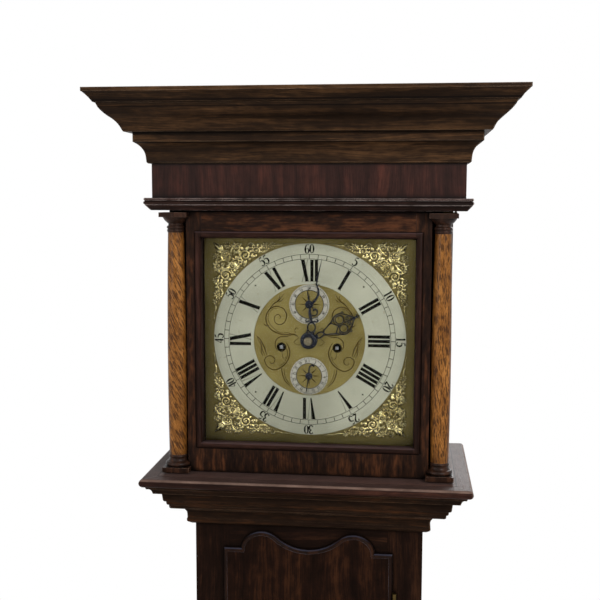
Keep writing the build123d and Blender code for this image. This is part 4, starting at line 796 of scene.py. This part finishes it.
def ring_of_bars(name, z, count, radius, length, width):
    """Bars round a circle on the dial that point at its middle."""
    sizes = {"Count": count, "Radius": radius * MM, "Length": length * MM, "Width": width * MM,
             "Height": 2 * WAX * MM, "Material": wax_black}
    tree = bpy.data.node_groups.new(name, "GeometryNodeTree")
    tree.interface.new_socket("Geometry", in_out="OUTPUT", socket_type="NodeSocketGeometry")
    inputs = {}
    for label, value in sizes.items():
        kind = "NodeSocket" + {int: "Int", float: "Float"}.get(type(value), "Material")
        inputs[label] = tree.interface.new_socket(label, in_out="INPUT", socket_type=kind)
    add = partial(add_node, tree)
    sockets = tree.nodes.new("NodeGroupInput").outputs
    given = {label: Wire(tree, sockets[label]) for label in sizes}
    points = add("GeometryNodeMeshCircle", {"Vertices": given["Count"], "Radius": given["Radius"]})
    sides = add("ShaderNodeCombineXYZ", {0: given["Length"], 1: given["Width"], 2: given["Height"]})
    bar = add("GeometryNodeMeshCube", {"Size": sides})
    step = add("ShaderNodeMath", {0: 2 * pi, 1: given["Count"]}, {"operation": "DIVIDE"})
    turn = add("ShaderNodeCombineXYZ", {2: add("GeometryNodeInputIndex") * step})
    bars = add("GeometryNodeInstanceOnPoints", {"Points": points, "Instance": bar, "Rotation": turn})
    real = add("GeometryNodeRealizeInstances", {0: bars})
    painted = add("GeometryNodeSetMaterial", {"Geometry": real, "Material": given["Material"]})
    add("NodeGroupOutput", {0: painted}, out=None)

    holder = put(name + "_holder", bpy.data.meshes.new(name))
    modifier = holder.modifiers.new(name, "NODES")
    modifier.node_group = tree
    for label, value in sizes.items():
        modifier[inputs[label].identifier] = value
    bpy.context.view_layer.update()
    mesh = bpy.data.meshes.new_from_object(holder.evaluated_get(bpy.context.evaluated_depsgraph_get()))
    holder.modifiers.clear()
    bpy.data.objects.remove(holder)
    mesh.transform(Matrix.Translation(Vector((0, RING_Y, z)) * MM) @ Matrix.Rotation(pi / 2, 4, "X"))
    give(name, mesh, "case")


# Chapter ring: hour numerals, minute track and five-minute figures

hours = FrontWork(RING_Y)
for hour, text in enumerate(HOURS):
    hours.stand((0, DIAL_Z), hour * 30)
    hour_numeral(hours, text)
hours.make("hour_numerals", "case", "silvered_brass", wax_black)

track = FrontWork(RING_Y)
for radius in (116, 122.5):
    track.ring(0, 0, radius, 0.32, sides=180)
for minute in range(5, 61, 5):
    track.stand((0, DIAL_Z), minute * 6)
    write(track, str(minute), 130.2, 12.8, bold=1.45)
for quarter in range(4):
    track.stand((0, DIAL_Z), 45 + quarter * 90)
    track.bead(0, 109, 1.2, 2 * WAX)
track.make("minute_track_and_figures", "case", "silvered_brass", wax_black)
ring_of_bars("minute_bars", DIAL_Z, 60, 119.25, 6.5, 0.85)

# Seconds and date circles: two rings, and figures that start from the one at the top

small = FrontWork(RING_Y)
for z, rings, figures, top, share, radius in (
        (SECONDS_Z, ((20.4, 0.45), (26.4, 0.2)), range(5, 61, 5), 60, 6, 23.5),
        (DATE_Z, ((18.4, 0.4), (25, 0.2)), range(1, 32, 2), 1, 360 / 31, 21.8)):
    small.stand((0, z))
    for ring_radius, half in rings:
        small.ring(0, 0, ring_radius, half, sides=72)
    for figure in figures:
        small.stand((0, z), (figure - top) * share)
        write(small, str(figure), radius, 4, bold=1.6)
small.make("seconds_and_date_figures", "case", "silvered_brass", wax_black)
ring_of_bars("seconds_bars", SECONDS_Z, 60, 27.2, 1.6, 0.5)
ring_of_bars("date_bars", DATE_Z, 31, 26, 1.6, 0.5)

# Engraved dial centre: one half of the scrollwork, in tenths of a millimetre, drawn on both sides

SCROLLS = (
    "-150 36 3, -225 80 4.5, -355 68 5, -470 95 5.5, -560 150 5, -615 240 5.5, -618 345 6, -560 440 5.5, "
    "-465 476 5, -365 438 5, -326 345 5, -356 250 4.5, -430 212 4, -492 250 4, -500 320 3.5, "
    "-450 362 3.5, -412 326 3, -426 294 2",
    "-180 52 2, -300 96 3, -420 98 3, -520 168 3, -586 260 3, -586 360 3, -530 432 2.5, -460 448 2",
    "-210 82 2.5, -320 46 4, -420 36 4.5, -482 -20 5, -488 -100 4.5, -456 -166 3",
    "-336 -40 2.5, -294 -114 5, -280 -210 6, -322 -324 5.5, -406 -406 5, -506 -444 5, -600 -400 4.5, "
    "-644 -310 4.5, -610 -252 4, -546 -242 4, -498 -284 4, -510 -342 3.5, -558 -348 3, -568 -312 2",
    "-360 -90 2, -318 -156 3, -312 -230 3, -360 -332 3, -430 -390 2",
    "-396 -416 3, -384 -506 5, -344 -604 4.5, -264 -684 2",
    "-362 -430 2, -354 -510 3.5, -316 -600 3, -256 -666 1.5",
    "-566 446 2.5, -500 520 5, -444 554 5, -404 600 4, -364 660 2",
    "-456 552 3, -430 594 4, -426 640 1.5",
    "-440 540 3, -400 558 3.5, -366 596 1.5",
    "-756 42 2, -704 -10 5, -670 -74 5.5, -640 -140 5, -616 -230 3",
    "-700 -16 3, -694 -84 4.5, -678 -152 4.5, -636 -240 2",
    "-686 -106 3, -694 -184 4, -662 -252 2",
    "-750 38 2, -724 -34 3, -696 -70 1.5",
    "-194 90 2, -206 138 3.5, -182 174 3, -158 150 2",
    "-152 24 2, -184 2 3, -216 -34 3, -196 -64 2",
    "-128 -68 2, -164 -76 3, -196 -56 1.5",
    "-390 -122 2, -384 -248 3, -350 -270 3, -332 -240 1.5",
)
ENGRAVED = 0.15

engraving = FrontWork(PLATE_Y)
for side in (1, -1):
    engraving.flip = (side, 1)
    for line in SCROLLS:
        engraving.curve([(u / 10, v / 10, half * ENGRAVED) for u, v, half in pen(line)], steps=5)
    engraving.leaf((-57, 20), (-66, 23), 1, WAX, 0.2)
engraving.flip = (1, 1)
for z in (SECONDS_Z, DATE_Z):
    for ray in range(8):
        engraving.stand((0, z), ray * 45)
        engraving.ribbon("0 6 0.9, 0 10 0.7, 0 15 0.1")
engraving.make("dial_engraving", "case", "dial_brass", scribed)

collets = FrontWork(PLATE_Y, section=ROUND, height=0.5)
for x in (-WINDING_X, WINDING_X):
    collets.stand((x, WINDING_Z))
    collets.ring(0, 0, 6, 0.7)
collets.make("winding_hole_rings", "case", "gilt_brass",
             brass("blackened_brass", (16, 14, 10), (34, 28, 18)))

# Hands, pierced and filed from steel; the minute hand is drawn where it points

MINUTE_Y = -42.2
HOUR_Y = -36.2
SMALL_HAND_Y = -32.2
HAND_THICK = 1.2

minute = FrontWork(MINUTE_Y, section=EASED, height=HAND_THICK)
minute.ring(0, 0, 8, 3.3, sides=48)
minute.ring(4.4, 19.8, 5.5, 1, stretch=1.22)
minute.curve("-2.6 10.4 1.2, -1.8 14 1.1, -1 16 0.9")
minute.curve("6.4 10 1.2, 8.2 13.4 1.1, 9.4 16 0.9")
for side in (-1, 1):
    minute.curve(((4.6 + side * 0.6, 26.8, 1.2), (4.6 + side * 4, 28.4, 1),
                  (4.8 + side * 7.4, 27.6, 0.9), (4.8 + side * 8.6, 29.8, 0.8),
                  (4.8 + side * 7, 31, 0.9)))
minute.bead(4.7, 27.6, 2.2, 1.5)
minute.curve("4.8 26.4 1.2, 3.8 31.5 1.9, 2.4 37 2.2, 1.9 43 1.7, 2.9 50 1.3, 6.5 54.6 1.4, "
             "10.9 60.2 1.6, 13.8 66.6 1.6, 13.9 73.2 1.4, 12.2 77.6 1, 11.6 81.4 0.9, 12.5 88 1.1, "
             "14.6 98 0.85, 19 116.9 0.25", steps=8)
minute.curve("3.2 37.4 0.9, 8.4 36.4 0.9, 12.2 39.2 1, 12.2 44.2 1.1, 8.8 45.8 1.1, 7 43 1.2")
minute.leaf((12.2, 78), (16.2, 80.6), 0.8, HAND_THICK, 0.15)
minute.leaf((11.8, 79), (8.4, 82.2), 0.8, HAND_THICK, -0.15)
minute_hand = minute.make("minute_hand_filed", "minute", "blued_steel", blued)
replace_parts(minute_hand, "minute_hand")
collet = FrontWork(MINUTE_Y - HAND_THICK)
collet.boss(0, 0, "6.2 1, 6.2 2, 5.4 2.9, 3.6 3.2, 2.4 3.2, 2.2 2.8, 1.4 2.9, 0.6 3.2")
collet.make("minute_hand_collet", "minute", "cast_brass",
            brass("collet_brass", (108, 98, 80), (156, 146, 124), rough=0.3))

hour = FrontWork(HOUR_Y, turn=62.5, section=EASED, height=HAND_THICK)
hour.ring(0, 0, 8.8, 3.3, sides=48)
hour.ring(0, 17.8, 3.7, 0.9, stretch=1.7)
hour.bead(0, 12.6, 2.6, 1.2)
for side in (-1, 1):
    hour.flip = (side, 1)
    hour.curve("0.4 23.6 1.1, 3.6 26.8 0.8, 5.2 31.4 0.7, 7.4 36.2 1, 9 40.6 1.1, 12.2 43.4 0.4")
    hour.curve("8.6 39 0.9, 5.2 42.2 0.7, 2 45.4 0.9, 0.6 48.6 1")
    hour.ring(6.9, 52.4, 5.9, 0.75)
    hour.curve("7.4 44.4 0.5, 12.4 45.6 0.8, 15 50.6 0.9, 14.4 56.6 0.9, 11 62 0.8, 7.4 66 0.9, "
               "3 70 0.9, 0.6 74 0.9")
    hour.curve("13.8 57.4 0.5, 15.6 60.6 0.8, 12.6 62 0.6")
    hour.ribbon(spiral((4.6, 63), 250, -120, (3, 1.2), (0.7, 0.55)))
    hour.leaf((0.4, 75.4), (4, 78.4), 0.7, HAND_THICK, 0.1)
hour.flip = (1, 1)
hour.bead(0, 67, 1.7, 1.3)
hour.bead(0, 58.4, 1.3, 1.3)
hour.ribbon("0 58.4 0.6, 0 67 0.9, 0 73 1.5, 0 77 1, 0 82.2 0.25")
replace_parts(hour.make("hour_hand_filed", "hour", "blued_steel", blued), "hour_hand")

seconds = FrontWork(SMALL_HAND_Y, (0, SECONDS_Z), -7.5, EASED, 0.8)
seconds.boss(0, 0, "5.8 0, 5.8 0.5, 4.8 1.2, 2.8 1.7, 1 1.9")
seconds.ribbon("0 2 1.1, 0 12 0.8, 0 21 0.3")
seconds.curve("0 20 0.3, 1.2 21.6 0.3, 2.6 20.8 0.3")
seconds.ribbon("0 -2 1.1, 0 -9 0.9, 0 -11 1.4, 0 -13 0.5")
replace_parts(seconds.make("seconds_hand_filed", "seconds", "blued_steel", blued), "seconds_hand")

date = FrontWork(SMALL_HAND_Y, (0, DATE_Z), section=EASED, height=0.8)
date.boss(0, 0, "5.2 0, 5.2 0.5, 4.4 1.1, 2 1.3")
date.ribbon("-0.6 -3 1, -1.8 -9 0.75, -4.6 -25.6 0.3")
date.curve("0.2 3 1.1, 0 9 0.9, 1.2 13.6 0.9, 4.4 16.2 1.1, 7.6 14.2 1.3")
date.bead(0, 0, 1.9, 2.2)
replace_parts(date.make("date_hand_filed", "date", "blued_steel", blued), "date_hand")


# Corner castings: curled leaves round a rosette, one half drawn and turned into all eight

# Middle, radius, and the angles where a curl starts and how far it winds
CURLS = ("91.5 120.5 8.2 -40 560, 76.6 127.6 5.9 215 -520, 63.6 131.6 4.4 -30 540, "
         "52.6 134.6 2.9 200 -500, 104 131.4 5.2 250 -500, 104.4 110.4 5.4 20 470, 84 134.4 3 240 -480, "
         "96.6 106.4 3 60 430, 117.4 134.2 3.4 180 460")
# Foot, tip, half width, height and bend
LEAVES = ("49 135.4 36 137.3 1.5 1.6 0.1, 38 137.2 20 138.5 0.9 1.1 0.05, "
          "70 124.4 57.6 130 1.3 1.4 0.15, 84 116.4 75 119.8 1.6 1.6 -0.15, 99 113 88 111.6 1.6 1.7 0.2, "
          "125 121.6 136.8 124.6 2 2.2 0.2, 124 126 137 132.2 1.6 2.4 -0.15, "
          "121 113 128.6 110 1.4 1.9 0.2")
RING_CLEAR = 138.6
CASTING_EDGE = 140.6
ROSETTE = 119


def fits(u, v):
    """Whether a tip stays between the chapter ring and the edge of the plate."""
    return hypot(u, v) > RING_CLEAR and max(abs(u), abs(v)) < CASTING_EDGE


def corner_half(work, swapped):
    """One half of a corner, mirrored across the diagonal when swapped."""
    work.swapped = swapped
    for u, v, radius, start, sweep in pen(CURLS):
        path = spiral((u, v), start, start + sweep, (radius, radius * 0.22), (radius * 0.3, radius * 0.15))
        work.ribbon(path, 1.3 + radius * 0.2)
        work.bead(u, v, radius * 0.32, 1.9 + radius * 0.18)
        turn = 1 if sweep > 0 else -1
        for k in range(8):
            angle = radians(start + turn * k * 41)
            foot = around(u, v, 0.92 * radius, angle)
            for reach in (1.9, 1.65, 1.4):
                tip = around(u, v, reach * radius, angle + turn * 0.35)
                if fits(*tip):
                    work.leaf(foot, tip, radius * 0.36, 1.4 + radius * 0.12, turn * 0.22, steps=5)
                    break
    for u, v, tip_u, tip_v, *shape in pen(LEAVES):
        work.leaf((u, v), (tip_u, tip_v), *shape)
    work.curve("109 121 1, 102 124.6 1.6, 99 117 1.4, 93 112 0.8", 2.4)
    work.curve("112 125 0.9, 110.6 131 1.5, 104 136.4 1.2, 97 136.8 0.6", 2.2)
    work.swapped = False


castings = FrontWork(PLATE_Y, section=ROUND)
for castings.flip in ((1, 1), (1, -1), (-1, 1), (-1, -1)):
    for swapped in (False, True):
        corner_half(castings, swapped)
    castings.leaf((126, 126), (138.2, 138.2), 3, 2.8)
    castings.leaf((112.6, 112.6), (101, 101), 3.2, 2.7)
    castings.boss(ROSETTE, ROSETTE, "8.6 0, 8.6 1.4, 7.9 2.1, 7.1 1.6, 6.2 1.1")
    for foot, tip in zip(circle(ROSETTE, ROSETTE, 1.6, 8), circle(ROSETTE, ROSETTE, 7.4, 8)):
        castings.leaf(foot, tip, 1.8, 2.9, 0.1)
    castings.bead(ROSETTE, ROSETTE, 2.4, 3.4)
# the dark ground low down on the castings is painted shade
gilt = brass("gilt_casting", (112, 98, 54), (204, 192, 144), rough=0.2, wear_and_highlight=0.6, ground=PLATE_Y)
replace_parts(castings.make("corner_castings", "case", "gilt_brass", gilt, crease=60.0), "dial_spandrels")

# Gut lines: two twisted strands down to each pulley

LINE_TOP = 1578
LINE_FOOT = 378
LINE_Y = 36
LINE_SPREAD = 20
LINE_HALF = 0.88
LINE_FLATNESS = 0.6 / LINE_HALF
LINE_SIDES = 8
ROWS_A_TWIST = 7
ROWS = 150 * ROWS_A_TWIST

for side, middle in (("going", 34.25), ("strike", -45.75)):
    points = []
    faces = []
    for across in (-LINE_SPREAD, LINE_SPREAD):
        rows = []
        for k in range(ROWS + 1):
            twist = 2 * pi * k / ROWS_A_TWIST
            z = LINE_FOOT + (LINE_TOP - LINE_FOOT) * k / ROWS
            rows.append(list(range(len(points), len(points) + LINE_SIDES)))
            for u, v in circle(0, 0, LINE_HALF, LINE_SIDES, LINE_FLATNESS):
                points.append((middle + across + u * cos(twist) - v * sin(twist),
                               LINE_Y + u * sin(twist) + v * cos(twist), z))
        skin(faces, rows)
    strands = solid(side + "_line_gut", "case", gut, points, faces, crease=80)
    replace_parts(strands, side + "_line")
    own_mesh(strands)

# Mouldings planted on the doors


def inset(outline, distance):
    """A counter-clockwise outline moved inwards with mitred corners."""
    moved = []
    for k, (x, z) in enumerate(outline):
        normals = []
        for (ax, az), (bx, bz) in ((outline[k - 1], (x, z)), ((x, z), outline[(k + 1) % len(outline)])):
            length = hypot(bx - ax, bz - az)
            normals.append(((az - bz) / length, (bx - ax) / length))
        (ax, az), (bx, bz) = normals
        share = distance / (1 + ax * bx + az * bz)
        moved.append((x + (ax + bx) * share, z + (az + bz) * share))
    return moved


def run_round(name, body, material, outline, section):
    """A moulding round a closed outline; its section is (inset, y) points."""
    points = []
    loops = []
    for distance, y in section:
        loops.append(list(range(len(points), len(points) + len(outline))))
        points += [(x, y, z) for x, z in inset(outline, distance)]
    faces = []
    skin(faces, loops, closed=True)
    solid(name, body, material, points, faces, crease=30)


def arc(middle, radius, start, stop, steps):
    """Points along an arc, between two angles in degrees from the right."""
    return [around(*middle, radius, radians(start + (stop - start) * k / steps))
            for k in range(steps + 1)]


# Right half of the trunk door's outline: foot, shoulder, ear and dip
door_side = pen("122.5 545, 122.5 1350.5, 97 1350.5, 97 1353.99")
door_side += arc((66.5, 1344.58), 31.92, 20.5, 130.9, 14)[:-1]
door_side += arc((0, 1421.34), 69.64, -49.1, -90, 7)
door_outline = door_side + [(-x, z) for x, z in reversed(door_side[:-1])]
quarter_round = [(0.5 + 4.5 * (1 - cos(k * pi / 16)), -44.9 - 4.05 * sin(k * pi / 16)) for k in range(9)]
run_round("trunk_door_ovolo", "trunk_door", ovolo_wood, door_outline,
          [(0.5, -44.4)] + quarter_round + [(5.3, -48.9), (5.3, -44.4)])

half, bottom, top = SIGHT
roll = [(-5.4 - 4.3 * cos(k * pi / 12), -59 - 3.9 * sin(k * pi / 12)) for k in range(13)]
run_round("hood_door_sight_moulding", "hood_door", sight_wood,
          [(half, bottom), (half, top), (-half, top), (-half, bottom)],
          [(-9.9, -58.6), (-9.9, -59.2)] + roll
          + [(-1.1, -55.4), (-0.3, -55), (-0.3, -52.6), (-4, -54.2)])

# Camera, lamps and stage

PICTURE_SIDE = 600
WHITE = (1, 1, 1, 1)


def photograph_camera():
    """The viewpoint found from the mouldings and the chapter ring."""
    yaw, pitch, roll = radians(6.44), radians(6.16), radians(0.14)
    ahead = Vector((-sin(yaw) * cos(pitch), cos(yaw) * cos(pitch), -sin(pitch)))
    right = Vector((cos(yaw), sin(yaw), 0))
    up = right.cross(ahead)
    right, up = right * cos(roll) + up * sin(roll), up * cos(roll) - right * sin(roll)
    data = bpy.data.cameras.new("camera")
    data.sensor_width = 36
    data.lens = 56.39
    data.shift_x = -3.2 / PICTURE_SIDE
    data.shift_y = 0.3 / PICTURE_SIDE
    camera = put("camera", data)
    turn = Matrix((right, up, -ahead)).transposed().to_4x4()
    camera.matrix_world = Matrix.Translation(Vector((140.2, -1349.8, 1856.1)) * MM) @ turn
    bpy.context.scene.camera = camera


def lamp(name, place, aim_height, side, power):
    """Square lamp aimed at the clock's middle line."""
    data = bpy.data.lights.new(name, "AREA")
    data.size = side
    data.energy = power
    light = put(name, data)
    light.location = place
    towards = Vector((0, 0, aim_height)) - light.location
    light.rotation_euler = towards.to_track_quat("-Z", "Y").to_euler()


def straight_rays(tree, *kinds):
    """1 for the kinds of ray named, such as Camera."""
    path = tree.nodes.new("ShaderNodeLightPath")
    return largest(Wire(tree, path.outputs["Is " + kind + " Ray"]) for kind in kinds)


def white_surround(strength):
    """Plain white when seen, softer as light."""
    world = bpy.data.worlds.new("surround")
    world.use_nodes = True
    bpy.context.scene.world = world
    tree = world.node_tree
    seen = straight_rays(tree, "Camera", "Glossy", "Transmission")
    background = tree.nodes["Background"]
    background.inputs["Color"].default_value = WHITE
    plug(tree, seen * (1 - strength) + strength, background.inputs["Strength"])


def pale_floor():
    """Pale floor with the clock's shadow, fading to white further off."""
    bpy.ops.mesh.primitive_plane_add(size=60)
    floor = bpy.context.object
    floor.name = "floor"
    f = Finish("floor_paint", rough=0.9, shine=0.1)
    away = (f.x * f.x + f.y * f.y).maths("SQRT").above(1500, 900)
    f.give_way(away * straight_rays(f.tree, "Camera", "Glossy"),
               f.node("ShaderNodeEmission", {"Color": WHITE}))
    floor.data.materials.append(f.done((0.86, 0.86, 0.85, 1)))


bpy.context.scene.view_settings.view_transform = "Standard"
photograph_camera()
white_surround(0.33)
pale_floor()
lamp("key", (1.7, -2.5, 3), 1.5, 1.6, 74)
lamp("fill", (-2.4, -2.3, 2.3), 1.5, 1.8, 34)
lamp("rim", (0.8, 2.6, 2.8), 1.3, 1.6, 50)
